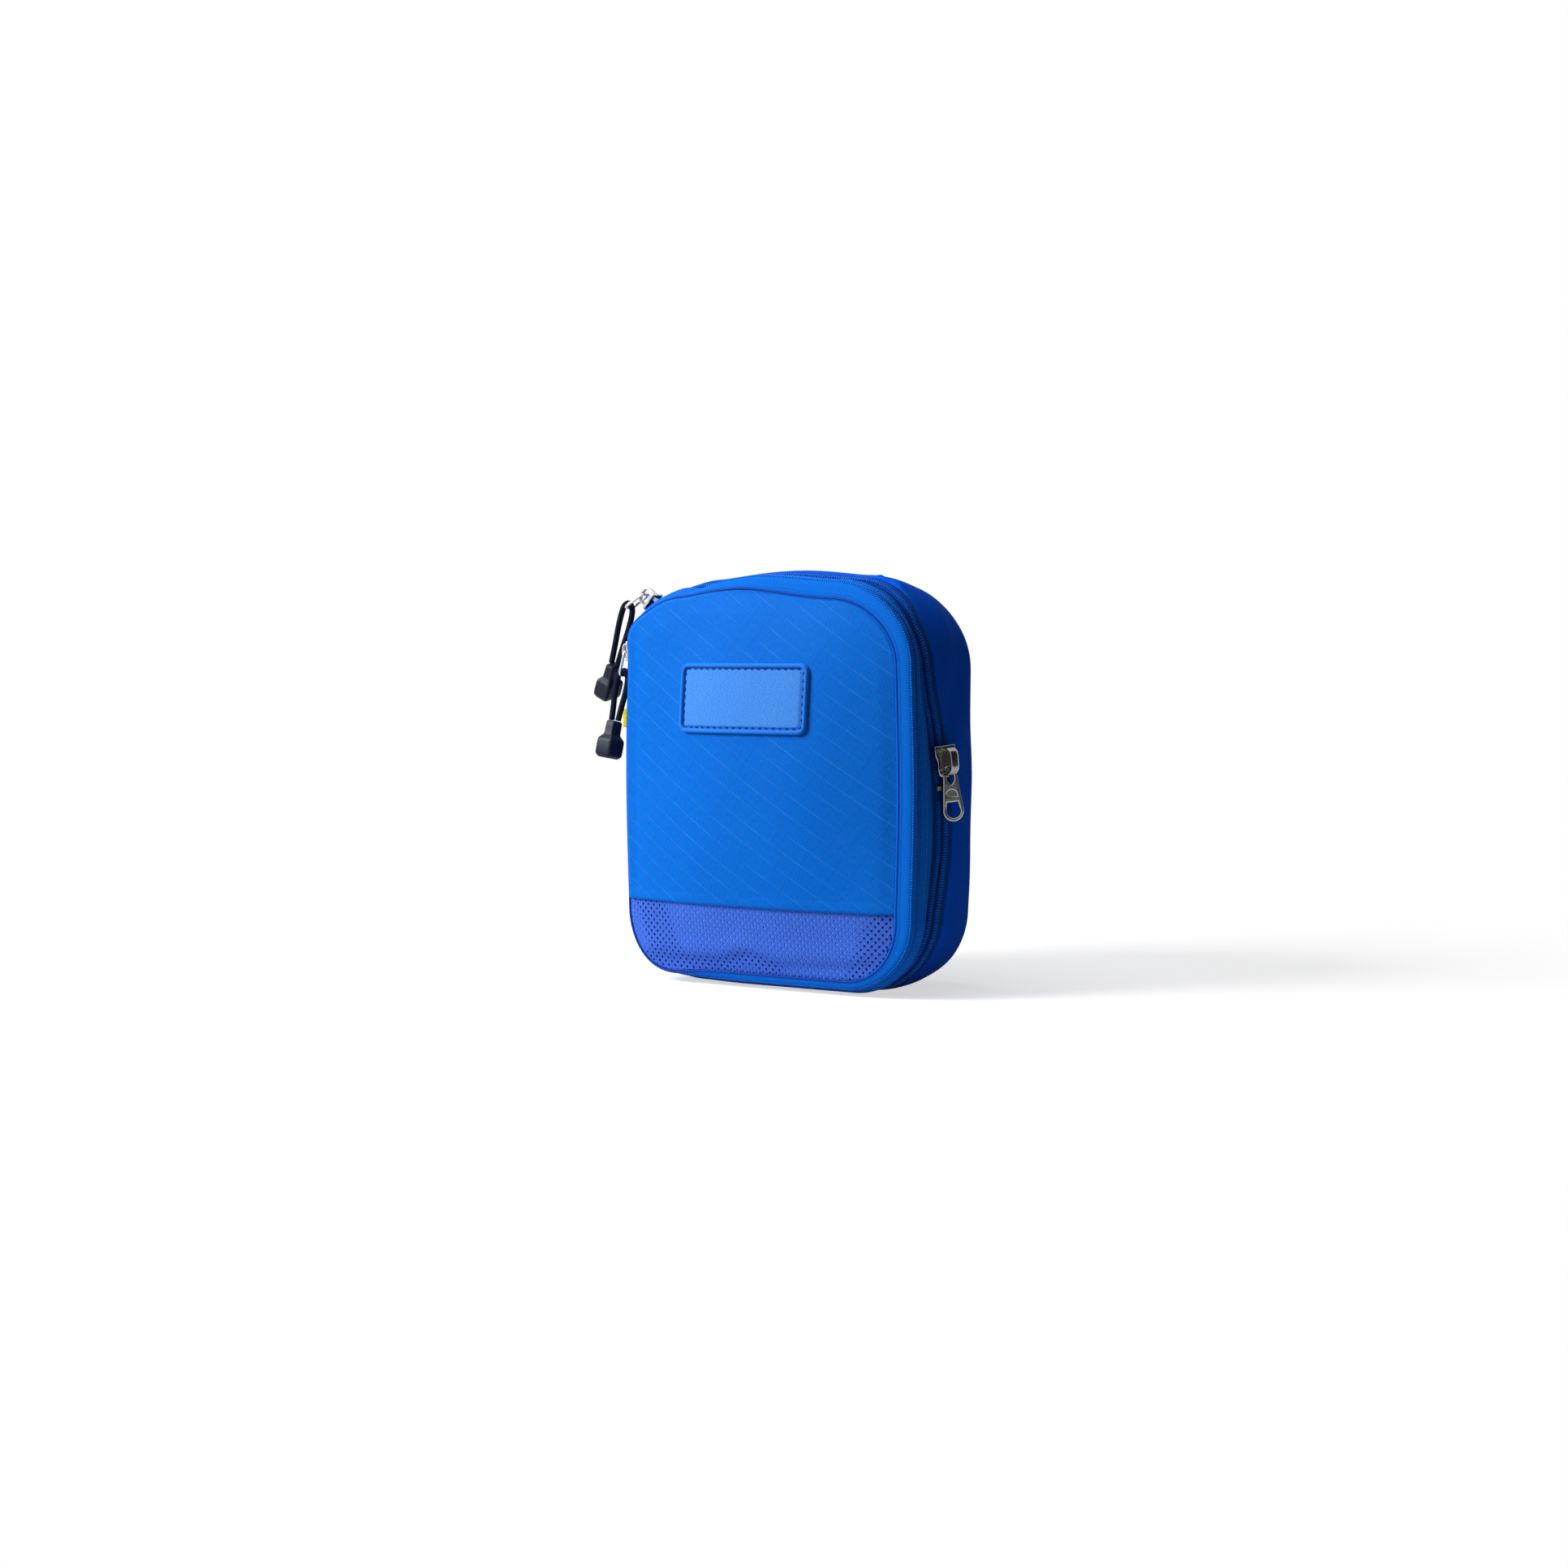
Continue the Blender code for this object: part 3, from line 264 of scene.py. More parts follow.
def build_floor(glow):
    """A pale floor that keeps the shadow, lifted to white where the camera sees it lit."""
    mesh = bpy.data.meshes.new("floor")
    half = 6.0
    corners = [(-half, -half, 0), (half, -half, 0), (half, half, 0), (-half, half, 0)]
    mesh.from_pydata(corners, [], [(0, 1, 2, 3)])
    floor = bpy.data.objects.new("floor", mesh)
    floor.location.z = -0.0002
    bpy.context.scene.collection.objects.link(floor)
    material = bpy.data.materials.new("pale_floor")
    material.use_nodes = True
    tree = material.node_tree
    tree.nodes.clear()
    diffuse = tree.nodes.new("ShaderNodeBsdfDiffuse")
    diffuse.inputs["Color"].default_value = (0.60, 0.60, 0.61, 1)
    glowing = tree.nodes.new("ShaderNodeEmission")
    white = tree.nodes.new("ShaderNodeEmission")
    shown = seen_directly(tree)
    for emission, level in ((glowing, glow), (white, 1.0)):
        strength = tree.nodes.new("ShaderNodeMath")
        strength.operation = "MULTIPLY"
        strength.inputs[1].default_value = level
        tree.links.new(shown, strength.inputs[0])
        tree.links.new(strength.outputs[0], emission.inputs["Strength"])
    near = tree.nodes.new("ShaderNodeAddShader")
    tree.links.new(diffuse.outputs[0], near.inputs[0])
    tree.links.new(glowing.outputs[0], near.inputs[1])
    place = tree.nodes.new("ShaderNodeTexCoord")
    distance = tree.nodes.new("ShaderNodeVectorMath")
    distance.operation = "LENGTH"
    tree.links.new(place.outputs["Object"], distance.inputs[0])
    fade = tree.nodes.new("ShaderNodeMapRange")
    fade.interpolation_type = "SMOOTHSTEP"
    fade.inputs["From Min"].default_value = 0.25
    fade.inputs["From Max"].default_value = 0.60
    tree.links.new(distance.outputs["Value"], fade.inputs["Value"])
    mix = tree.nodes.new("ShaderNodeMixShader")
    out = tree.nodes.new("ShaderNodeOutputMaterial")
    tree.links.new(fade.outputs["Result"], mix.inputs["Fac"])
    tree.links.new(near.outputs[0], mix.inputs[1])
    tree.links.new(white.outputs[0], mix.inputs[2])
    tree.links.new(mix.outputs[0], out.inputs["Surface"])
    mesh.materials.append(material)


def build_flag():
    """A dark card out of sight on the right, which keeps that side in shade as a studio flag does."""
    mesh = bpy.data.meshes.new("flag")
    corners = [(0.80, -1.10, 0.0), (0.80, 1.2, 0.0), (0.80, 1.2, 0.9), (0.80, -1.10, 0.9)]
    mesh.from_pydata(corners, [], [(0, 1, 2, 3)])
    flag = bpy.data.objects.new("flag", mesh)
    flag.visible_camera = False
    bpy.context.scene.collection.objects.link(flag)
    material = bpy.data.materials.new("flag_cloth")
    material.use_nodes = True
    shader = material.node_tree.nodes["Principled BSDF"]
    shader.inputs["Base Color"].default_value = (0.02, 0.02, 0.02, 1)
    shader.inputs["Roughness"].default_value = 0.9
    mesh.materials.append(material)


def build_studio():
    bpy.context.scene.view_settings.view_transform = "Standard"
    build_camera()
    build_world(0.13)
    build_floor(0.62)
    aim = (0.0, 0.0, 0.11)
    add_area_light("key", (-0.80, -0.90, 0.85), aim, 0.7, 25)
    add_area_light("top", (-0.25, -0.2, 1.5), aim, 1.0, 7)
    build_flag()


# Node materials


class Finish:
    """A Principled material, with helpers that add nodes and join them."""

    def __init__(self, name, roughness, metallic=0.0, specular=0.2):
        self.material = bpy.data.materials.new(name)
        self.material.use_nodes = True
        self.tree = self.material.node_tree
        self.shader = self.tree.nodes["Principled BSDF"]
        self.shader.inputs["Roughness"].default_value = roughness
        self.shader.inputs["Metallic"].default_value = metallic
        self.shader.inputs["Specular IOR Level"].default_value = specular

    def plug(self, value, socket):
        if hasattr(value, "is_output"):
            self.tree.links.new(value, socket)
        else:
            socket.default_value = value

    def math(self, operation, *values):
        node = self.tree.nodes.new("ShaderNodeMath")
        node.operation = operation
        for value, socket in zip(values, node.inputs):
            self.plug(value, socket)
        return node.outputs[0]

    def coordinates(self, kind="UV"):
        return self.tree.nodes.new("ShaderNodeTexCoord").outputs[kind]

    def split(self, vector):
        node = self.tree.nodes.new("ShaderNodeSeparateXYZ")
        self.tree.links.new(vector, node.inputs[0])
        return node.outputs[0], node.outputs[1], node.outputs[2]

    def along(self, vector, direction):
        node = self.tree.nodes.new("ShaderNodeVectorMath")
        node.operation = "DOT_PRODUCT"
        self.tree.links.new(vector, node.inputs[0])
        node.inputs[1].default_value = direction
        return node.outputs["Value"]

    def stretch(self, vector, scale):
        node = self.tree.nodes.new("ShaderNodeVectorMath")
        node.operation = "MULTIPLY"
        self.tree.links.new(vector, node.inputs[0])
        node.inputs[1].default_value = scale
        return node.outputs[0]

    def noise(self, vector, scale, detail=2.0, roughness=0.5):
        node = self.tree.nodes.new("ShaderNodeTexNoise")
        self.tree.links.new(vector, node.inputs["Vector"])
        node.inputs["Scale"].default_value = scale
        node.inputs["Detail"].default_value = detail
        node.inputs["Roughness"].default_value = roughness
        return node.outputs["Fac"]

    def remap(self, value, low, high, to_low=0.0, to_high=1.0):
        node = self.tree.nodes.new("ShaderNodeMapRange")
        node.interpolation_type = "SMOOTHSTEP"
        self.plug(value, node.inputs["Value"])
        node.inputs["From Min"].default_value = low
        node.inputs["From Max"].default_value = high
        node.inputs["To Min"].default_value = to_low
        node.inputs["To Max"].default_value = to_high
        return node.outputs["Result"]

    def lines(self, coordinate, pitch, width):
        """1 on thin lines that repeat along a coordinate, fading to 0 beside them."""
        away = self.math("PINGPONG", coordinate, pitch / 2)
        return self.remap(away, width * 0.3, width * 0.7, 1.0, 0.0)

    def ribs(self, coordinate, pitch):
        """A wave from 0 to 1 that repeats along a coordinate."""
        turn = self.math("MULTIPLY", coordinate, 2 * math.pi / pitch)
        return self.math("MULTIPLY_ADD", self.math("SINE", turn), 0.5, 0.5)

    def mix(self, share, low, high):
        """A colour between two, each a colour or a socket."""
        node = self.tree.nodes.new("ShaderNodeMix")
        node.data_type = "RGBA"
        self.plug(share, node.inputs["Factor"])
        for value, socket in ((low, node.inputs["A"]), (high, node.inputs["B"])):
            self.plug(value if hasattr(value, "is_output") else (*value, 1.0), socket)
        return node.outputs["Result"]

    def colour(self, value):
        self.plug(value if hasattr(value, "is_output") else (*value, 1.0), self.shader.inputs["Base Color"])

    def roughness(self, value):
        self.plug(value, self.shader.inputs["Roughness"])

    def sheen(self, weight, tint, roughness=0.4):
        self.shader.inputs["Sheen Weight"].default_value = weight
        self.shader.inputs["Sheen Tint"].default_value = (*tint, 1.0)
        self.shader.inputs["Sheen Roughness"].default_value = roughness

    def bump(self, height, distance, strength=1.0):
        node = self.tree.nodes.new("ShaderNodeBump")
        node.inputs["Distance"].default_value = distance
        node.inputs["Strength"].default_value = strength
        self.tree.links.new(height, node.inputs["Height"])
        self.tree.links.new(node.outputs["Normal"], self.shader.inputs["Normal"])


RIPSTOP_PITCH = 0.0090
CHEVRON_AT = 0.0037
CHEVRON_HALF = 0.0015


def make_ripstop():
    """Thin bright cloth with a bias grid: plain raised lines one way, dotted lines the other, with painted
    highlight along the raised threads and painted shadow along the dotted rows.
    """
    made = Finish("ripstop", 0.60, specular=0.04)
    uv = made.coordinates()
    fall = math.radians(33)
    rise = math.radians(54)
    plain = made.lines(made.along(uv, (math.sin(fall), math.cos(fall), 0)), RIPSTOP_PITCH, 0.00030)
    dotted_at = made.along(uv, (-math.sin(rise), math.cos(rise), 0))
    dots = made.ribs(made.along(uv, (math.cos(rise), math.sin(rise), 0)), 0.0015)
    row = made.lines(dotted_at, RIPSTOP_PITCH, 0.00042)
    dotted = made.math("MULTIPLY", row, made.remap(dots, 0.45, 0.7))
    u, v, _ = made.split(uv)
    thread = made.noise(made.stretch(uv, (2600, 420, 1)), 1.0, 2.0)
    cloud = made.noise(uv, 26, 2.0)
    shade = made.mix(made.remap(thread, 0.3, 0.7), (0.002, 0.122, 0.570), (0.003, 0.168, 0.690))
    shade = made.mix(made.math("MULTIPLY", cloud, 0.35), shade, (0.002, 0.125, 0.600))
    # Noise that fades the painted highlights along the grid lines here and there.
    highlight_fade = made.remap(made.noise(uv, 45, 3.0), 0.35, 0.70, 0.10, 0.62)
    # Painted shadow: the dotted rows darkened where their raised threads shade the cloth.
    shade = made.mix(made.math("MULTIPLY", row, 0.40), shade, (0.001, 0.070, 0.420))
    # Painted highlight: pale dots and pale plain lines where the raised threads catch the light.
    shade = made.mix(made.math("MULTIPLY", dotted, highlight_fade), shade, (0.030, 0.260, 0.850))
    shade = made.mix(made.math("MULTIPLY", plain, highlight_fade), shade, (0.050, 0.310, 0.900))
    made.colour(shade)
    weave = made.math("MULTIPLY", made.ribs(u, 0.0005), made.ribs(v, 0.0005))
    height = made.math("ADD", made.math("MULTIPLY", weave, 0.25), plain)
    height = made.math("ADD", height, made.math("MULTIPLY", dotted, 0.6))
    made.bump(made.math("MULTIPLY_ADD", thread, 0.3, height), 0.00012, 0.6)
    return made.material


def make_tape(name, dark, light):
    """Zip tape: a fine ribbed weave with one broad column of chevrons near its edge."""
    made = Finish(name, 0.70, specular=0.04)
    uv = made.coordinates()
    u, v, _ = made.split(uv)
    apex = made.math("ABSOLUTE", made.math("SUBTRACT", v, CHEVRON_AT))
    chevron = made.ribs(made.math("MULTIPLY_ADD", apex, 1.1, u), 0.00125)
    column = made.remap(apex, CHEVRON_HALF * 0.92, CHEVRON_HALF, 1.0, 0.0)
    fine = made.math("MULTIPLY", made.ribs(u, 0.00062), made.ribs(v, 0.00070))
    weave = made.math("ADD", made.math("MULTIPLY", chevron, column),
                      made.math("MULTIPLY", fine, made.math("SUBTRACT", 1.0, column)))
    fuzz = made.noise(made.stretch(uv, (1500, 1500, 1)), 1.0, 2.0)
    cloud = made.noise(uv, 60, 2.0)
    shade = made.mix(made.math("MULTIPLY_ADD", fuzz, 0.5, made.math("MULTIPLY", weave, 0.7)),
                     dark, light)
    shade = made.mix(made.math("MULTIPLY", cloud, 0.3), shade, dark)
    made.colour(shade)
    made.bump(made.math("MULTIPLY_ADD", fuzz, 0.6, weave), 0.00014, 0.5)
    return made.material


def make_plain_weave(name, dark, light):
    made = Finish(name, 0.75, specular=0.03)
    uv = made.coordinates()
    u, v, _ = made.split(uv)
    weave = made.math("MULTIPLY", made.ribs(u, 0.0008), made.ribs(v, 0.0008))
    thread = made.noise(made.stretch(uv, (900, 2400, 1)), 1.0, 1.0)
    shade = made.mix(made.remap(thread, 0.3, 0.7), dark, light)
    made.colour(made.mix(made.math("MULTIPLY", made.noise(uv, 30), 0.4), shade, dark))
    made.bump(made.math("MULTIPLY_ADD", thread, 0.5, weave), 0.00016, 0.6)
    return made.material


def make_embroidery():
    """Fill stitches: short strokes of glossy thread side by side."""
    made = Finish("embroidery", 0.60, specular=0.10)
    uv = made.coordinates()
    strokes = made.noise(made.stretch(uv, (900, 3000, 1)), 1.0, 2.0)
    made.colour(made.mix(made.remap(strokes, 0.30, 0.70), (0.028, 0.190, 0.670), (0.075, 0.300, 0.820)))
    made.bump(strokes, 0.00030, 0.7)
    return made.material


def make_metal(name, colour, roughness):
    """Plated metal: bright, with faint scuffs that roughen it here and there."""
    made = Finish(name, roughness, metallic=1.0, specular=0.5)
    spots = made.coordinates("Object")
    scuff = made.noise(spots, 900, 3.0)
    made.colour(made.mix(made.remap(scuff, 0.3, 0.8), colour, tuple(c * 0.94 for c in colour)))
    made.roughness(made.remap(scuff, 0.35, 0.75, roughness * 0.9, roughness * 1.25))
    made.bump(made.noise(spots, 2600, 2.0), 0.00002, 0.4)
    return made.material


def make_rubber():
    """Moulded navy rubber with a fine grain."""
    made = Finish("navy_rubber", 0.42, specular=0.16)
    grain = made.noise(made.coordinates("Object"), 2200, 3.0)
    made.colour(made.mix(made.remap(grain, 0.3, 0.7), (0.007, 0.009, 0.021), (0.015, 0.019, 0.038)))
    made.bump(grain, 0.00008, 0.5)
    return made.material


def make_thread(name, dark, light, specular=0.10):
    """Twisted thread or nylon filament, slightly uneven."""
    made = Finish(name, 0.45, specular=specular)
    fuzz = made.noise(made.coordinates("Object"), 1500, 2.0)
    made.colour(made.mix(made.remap(fuzz, 0.3, 0.7), dark, light))
    made.bump(fuzz, 0.00008, 0.5)
    return made.material


# Shape helpers


def smoothstep(value, low, high):
    share = np.clip((value - low) / (high - low), 0.0, 1.0)
    return share * share * (3 - 2 * share)


def outline(inset, left_corner, right_corner):
    """Arrays x, z and side round the body, anticlockwise from the left end of the base.

    side is how far a point lies into a swelling side wall: 1 in its middle, 0 off it.
    """
    half = HALF_WIDTH - inset
    top = HEIGHT - inset
    left_r = left_corner - inset
    right_r = right_corner - inset
    base_r = BASE_CORNER - inset
    parts = []

    def run(start, end, steps, normal, rise, is_side):
        share = np.arange(steps) / steps
        arch = np.sin(np.pi * share) ** ARCH_POWER
        x = start[0] + (end[0] - start[0]) * share + normal[0] * rise * arch
        z = start[1] + (end[1] - start[1]) * share + normal[1] * rise * arch
        parts.append(np.stack([x, z, arch * is_side], axis=1))

    def corner(centre, radius, start_deg):
        angle = np.radians(start_deg + 90 * np.arange(CORNER_STEPS) / CORNER_STEPS)
        x = centre[0] + radius * np.cos(angle)
        z = centre[1] + radius * np.sin(angle)
        parts.append(np.stack([x, z, np.zeros(CORNER_STEPS)], axis=1))

    run((-half + base_r, inset), (half - base_r, inset), BASE_STEPS, (0, -1), 0, 0)
    corner((half - base_r, BASE_CORNER), base_r, -90)
    run((half, BASE_CORNER), (half, top - right_r), SIDE_STEPS, (1, 0), SIDE_BULGE, 1)
    corner((half - right_r, top - right_r), right_r, 0)
    run((half - right_r, top), (-half + left_r, top), TOP_STEPS, (0, 1), TOP_BULGE, 0)
    corner((-half + left_r, top - left_r), left_r, 90)
    run((-half, top - left_r), (-half, BASE_CORNER), SIDE_STEPS, (-1, 0), SIDE_BULGE, 1)
    corner((-half + base_r, BASE_CORNER), base_r, 180)
    return np.concatenate(parts)


def top_lift(depth):
    """How far the slack top sinks at the front zipper and rises behind the compression zipper."""
    depths = (0.0, 0.010, 0.017, 0.026, 0.040, 0.060)
    return np.interp(depth, depths, (0.0, -0.0024, -0.0022, 0.0, 0.0006, -0.0006))


def right_slant(x, z):
    """The compression zipper's slant on the right: forward towards the top, back towards the base."""
    slant = np.interp(z, SLANT_Z, SLANT)
    return slant * smoothstep(x, 0.045, 0.080)


def loop(depth, inset, drift=0.0, left_depth=None, left_inset=None):
    """A closed loop of points round the body, one row per point.

    left_depth and left_inset hold where the front panel wraps round the left edge.
    """
    rear = np.clip((depth - REAR_SPLIT_DEPTH) / (GUSSET_FLAT_DEPTH - REAR_SPLIT_DEPTH), 0, 1)
    left_corner = TOP_CORNER + (REAR_LEFT_CORNER - TOP_CORNER) * rear
    right_corner = WIDE_TOP_CORNER
    base = outline(inset, left_corner, right_corner)
    x, z, side = base[:, 0].copy(), base[:, 1].copy(), base[:, 2]
    back = depth + drift * (side * np.where(x > 0, RIGHT_DRIFT, LEFT_DRIFT) + right_slant(x, z))
    shift = FRONT_SHIFT * np.interp(depth, (0.0, FRONT_SPLIT_DEPTH, 0.0168, 0.0200), (0.0, 1.0, 0.85, 0.0))
    back = back - shift * smoothstep(x, -0.055, -0.015)
    if left_inset is not None:
        wrapped = outline(left_inset, left_corner, right_corner)
        high = smoothstep(wrapped[:, 1], 0.150, 0.190)
        start = LEFT_WRAP_FROM + (TOP_WRAP_FROM - LEFT_WRAP_FROM) * high
        end = LEFT_WRAP_TO + (TOP_WRAP_TO - LEFT_WRAP_TO) * high
        share = smoothstep(-wrapped[:, 0], start, end) ** (2 - high)
        share = share * (1 - TOP_LEFT_TAPE * high * (1 - smoothstep(-wrapped[:, 0], 0.074, 0.086)))
        x += (wrapped[:, 0] - x) * share
        z += (wrapped[:, 1] - z) * share
        back = back + (left_depth - depth) * share
    squeeze = BASE_SQUEEZE * max(inset - EDGE_INSET, 0.0) * (depth < FRONT_SPLIT_DEPTH)
    z = z - squeeze * (1 - smoothstep(z, 0.008, 0.050))
    z = z - squeeze * TOP_TUCK / BASE_SQUEEZE * smoothstep(z, 0.170, 0.202) * smoothstep(x, -0.020, 0.030)
    z = z + BASE_LIFT * (1 - smoothstep(z, 0.0, 0.040)) * (1 - smoothstep(depth, 0.006, 0.024))
    sag = smoothstep(-x, 0.000, 0.052) * (1 - 0.2 * smoothstep(-x, 0.060, 0.084))
    droop = TOP_SAG * (1 - 0.85 * smoothstep(back, 0.014, 0.034))
    z = z - droop * sag * smoothstep(z, 0.165, 0.205)
    front = 1 - smoothstep(back, 0.006, 0.020)
    z = z - CORNER_DROP * front * smoothstep(-x, 0.030, 0.060) * smoothstep(z, 0.180, 0.203)
    upright = smoothstep(z, 0.172, 0.188) * (1 - smoothstep(z, 0.190, 0.203))
    x = x - CORNER_FILL * front * smoothstep(-x, 0.066, 0.082) * upright
    z = z + top_lift(depth) * smoothstep(z, 0.185, 0.205) * smoothstep(x, -0.062, -0.035)
    return np.stack([x, FRONT_SEAM_Y + back, z], axis=1)


def catmull(points, steps):
    """A smooth run of rows through a few rows of numbers."""
    points = np.asarray(points, float)
    ends = np.concatenate([2 * points[:1] - points[1:2], points, 2 * points[-1:] - points[-2:-1]])
    out = []
    for a, b, c, d in zip(ends, ends[1:], ends[2:], ends[3:]):
        for t in np.arange(steps) / steps:
            square, cube = 2 * a - 5 * b + 4 * c - d, 3 * b - 3 * c + d - a
            out.append(0.5 * (2 * b + (c - a) * t + square * t ** 2 + cube * t ** 3))
    out.append(points[-1])
    return np.array(out)


def add_object(name, mesh, material):
    mesh.materials.append(material)
    made = bpy.data.objects.new(name, mesh)
    bpy.context.scene.collection.objects.link(made)
    return made


def grid_object(name, rows, material, ring=True, tube=False, flat=None):
    """A smooth mesh over rows of points. ring joins each row's ends and tube joins the last row to the first.

    Its UV map is in metres: u runs along the rows and v across them, or flat gives it for each point.
    """
    rows = np.asarray(rows, float)
    count, width = rows.shape[:2]
    across = count if tube else count - 1
    along = width if ring else width - 1
    faces = []
    corners = []
    for i in range(across):
        k = (i + 1) % count
        for j in range(along):
            m = (j + 1) % width
            faces.append((i * width + j, i * width + m, k * width + m, k * width + j))
            corners += [(j, i), (j + 1, i), (j + 1, i + 1), (j, i + 1)]
    middle = rows[count // 4 if tube else count // 2]
    steps_u = np.linalg.norm(np.roll(middle, -1, axis=0) - middle, axis=1)
    u = np.concatenate([[0.0], np.cumsum(steps_u)])
    steps_v = np.linalg.norm(np.roll(rows, -1, axis=0) - rows, axis=2).mean(axis=1)
    v = np.concatenate([[0.0], np.cumsum(steps_v)])
    corners = np.array(corners)
    mesh = bpy.data.meshes.new(name)
    mesh.from_pydata(rows.reshape(-1, 3).tolist(), [], faces)
    layer = mesh.uv_layers.new(name="metres")
    if flat is None:
        spots = np.stack([u[corners[:, 0]], v[corners[:, 1]]], axis=1)
    else:
        spots = np.asarray(flat)[corners[:, 1] % count, corners[:, 0] % width]
    layer.data.foreach_set("uv", spots.ravel())
    mesh.shade_smooth()
    return add_object(name, mesh, material)


def band(name, stations, wall, material, steps=3, shaped=None):
    """A closed ring of cloth: a smooth profile of stations, and the same one wall deeper inside.

    A station is (depth, inset, drift), with (left depth, left inset) after it where the left edge differs.
    shaped moves the finished rows of points.
    """
    profile = catmull(stations, steps)
    outer = [loop(*row) for row in profile]
    inner = []
    for row in profile[::-1]:
        deeper = row.copy()
        deeper[1] += wall
        if len(row) > 3:
            deeper[4] += wall
        inner.append(loop(*deeper))
    rows = np.array(outer + inner)
    return grid_object(name, shaped(rows) if shaped else rows, material, tube=True)


def walk(points, beside, pitch, phase=0.0):
    """Frames at an even pitch along a closed loop: arrays of places, and unit vectors along, across and out.

    beside is a loop a little further back, which gives the direction across.
    """
    ends = np.roll(points, -1, axis=0)
    lengths = np.linalg.norm(ends - points, axis=1)
    total = lengths.sum()
    count = int(round(total / pitch))
    at = (np.arange(count) + phase) * total / count
    passed = np.concatenate([[0.0], np.cumsum(lengths)])
    index = np.clip(np.searchsorted(passed, at, side="right") - 1, 0, len(points) - 1)
    share = ((at - passed[index]) / lengths[index])[:, None]
    place = points[index] + (ends[index] - points[index]) * share
    along = (ends - points)[index]
    along /= np.linalg.norm(along, axis=1)[:, None]
    across = (beside - points)[index]
    across -= along * np.sum(across * along, axis=1)[:, None]
    across /= np.linalg.norm(across, axis=1)[:, None]
    out = np.cross(across, along)
    return place, along, across, out


def bead(length, width, height, rings=5, sides=8):
    """Points and faces of a small rounded capsule along its own x axis."""
    points = []
    for i in range(rings + 1):
        turn = math.pi * i / rings
        x = -math.copysign(abs(math.cos(turn)) ** 0.7, math.cos(turn)) * length / 2
        radius = max(math.sin(turn), 0.0) ** 0.6
        for j in range(sides):
            angle = 2 * math.pi * j / sides
            points.append((x, radius * math.cos(angle) * width / 2, radius * math.sin(angle) * height / 2))
    faces = []
    for i in range(rings):
        for j in range(sides):
            k = (j + 1) % sides
            faces.append((i * sides + j, i * sides + k, (i + 1) * sides + k, (i + 1) * sides + j))
    return np.array(points), faces


def scatter(name, shape, frames, material):
    """One object with a copy of a small shape at each frame (place, x axis, y axis, z axis)."""
    points, faces = shape
    place, x_axis, y_axis, z_axis = frames
    parts = place[:, None] + (x_axis[:, None] * points[None, :, 0:1] + y_axis[:, None] * points[None, :, 1:2]
                              + z_axis[:, None] * points[None, :, 2:3])
    count = len(points)
    index = np.asarray(faces)[None] + (np.arange(len(place)) * count)[:, None, None]
    mesh = bpy.data.meshes.new(name)
    mesh.from_pydata(parts.reshape(-1, 3).tolist(), [], index.reshape(-1, 4).tolist())
    bm = bmesh.new()
    bm.from_mesh(mesh)
    bmesh.ops.remove_doubles(bm, verts=bm.verts, dist=1e-6)
    bmesh.ops.recalc_face_normals(bm, faces=bm.faces)
    bm.to_mesh(mesh)
    bm.free()
    mesh.shade_smooth()
    return add_object(name, mesh, material)


# Front face as a surface


def dome_depth(x, z):
    across = np.minimum(np.abs(x) / (HALF_WIDTH - SEAM_INSET), 1.0)
    up = np.minimum(np.abs(z - MIDDLE_Z) / (MIDDLE_Z - SEAM_INSET), 1.0)
    return DOME * (1 - across ** 2) * (1 - up ** 2)


def front_edge():
    """Loops from the domed face's rim outwards: down behind the lid tape, and round the left edge."""
    return np.array([loop(*row) for row in catmull([
        (0.0000, SEAM_INSET + 0.0016, 0.0, 0.0010, 0.0042),
        (0.0012, SEAM_INSET + 0.0004, 0.0, 0.0028, 0.0019),
        (0.0028, SEAM_INSET - 0.0004, 0.0, 0.0050, 0.0013),
        (0.0038, SEAM_INSET - 0.0006, 0.0, 0.0068, 0.0028),
    ], 4)])


EDGE = front_edge()
RIM = EDGE[0]
MIDDLE = np.array((0.0, MIDDLE_Z))


def crease_z(x):
    return 0.0115 + 0.0045 * np.exp(-((x + 0.009) / 0.012) ** 2) + 0.05 * np.maximum(x - 0.010, 0.0)


def slack(x, z):
    """How far loose cloth stands out: folds from the top left corner, and a crease along the mesh."""
    reach = np.hypot(x + 0.080, z - 0.205)
    turn = np.arctan2(0.205 - z, x + 0.080)
    fan = 0.0007 * np.sin(10 * turn + 0.5) * np.exp(-reach / 0.045) * smoothstep(reach, 0.008, 0.030)
    waves = 0.0004 * np.sin(75 * x + 40 * z + 1.0) * np.sin(60 * z - 35 * x + 2.0)
    low = 1 - smoothstep(z, 0.034, 0.042)
    above = np.exp(-((z - crease_z(x) - 0.007) / 0.005) ** 2)
    below = np.exp(-((z - crease_z(x)) / 0.0032) ** 2)
    ends = np.sin(190 * x + 120 * z) * (smoothstep(-x, 0.040, 0.065) + smoothstep(x, 0.045, 0.065))
    return fan + waves + low * (0.0009 * above - 0.0011 * below + 0.0004 * ends)


def face_y(x, z, share, wrap):
    """Height of the domed face at a share of the way from its middle to its rim."""
    pillow = PILLOW * smoothstep(1 - share, 0.0, PILLOW_SHARE)
    loose = slack(x, z) * (1 - share ** 10)
    return FRONT_SEAM_Y + wrap * share ** WRAP_POWER - dome_depth(x, z) - pillow - loose


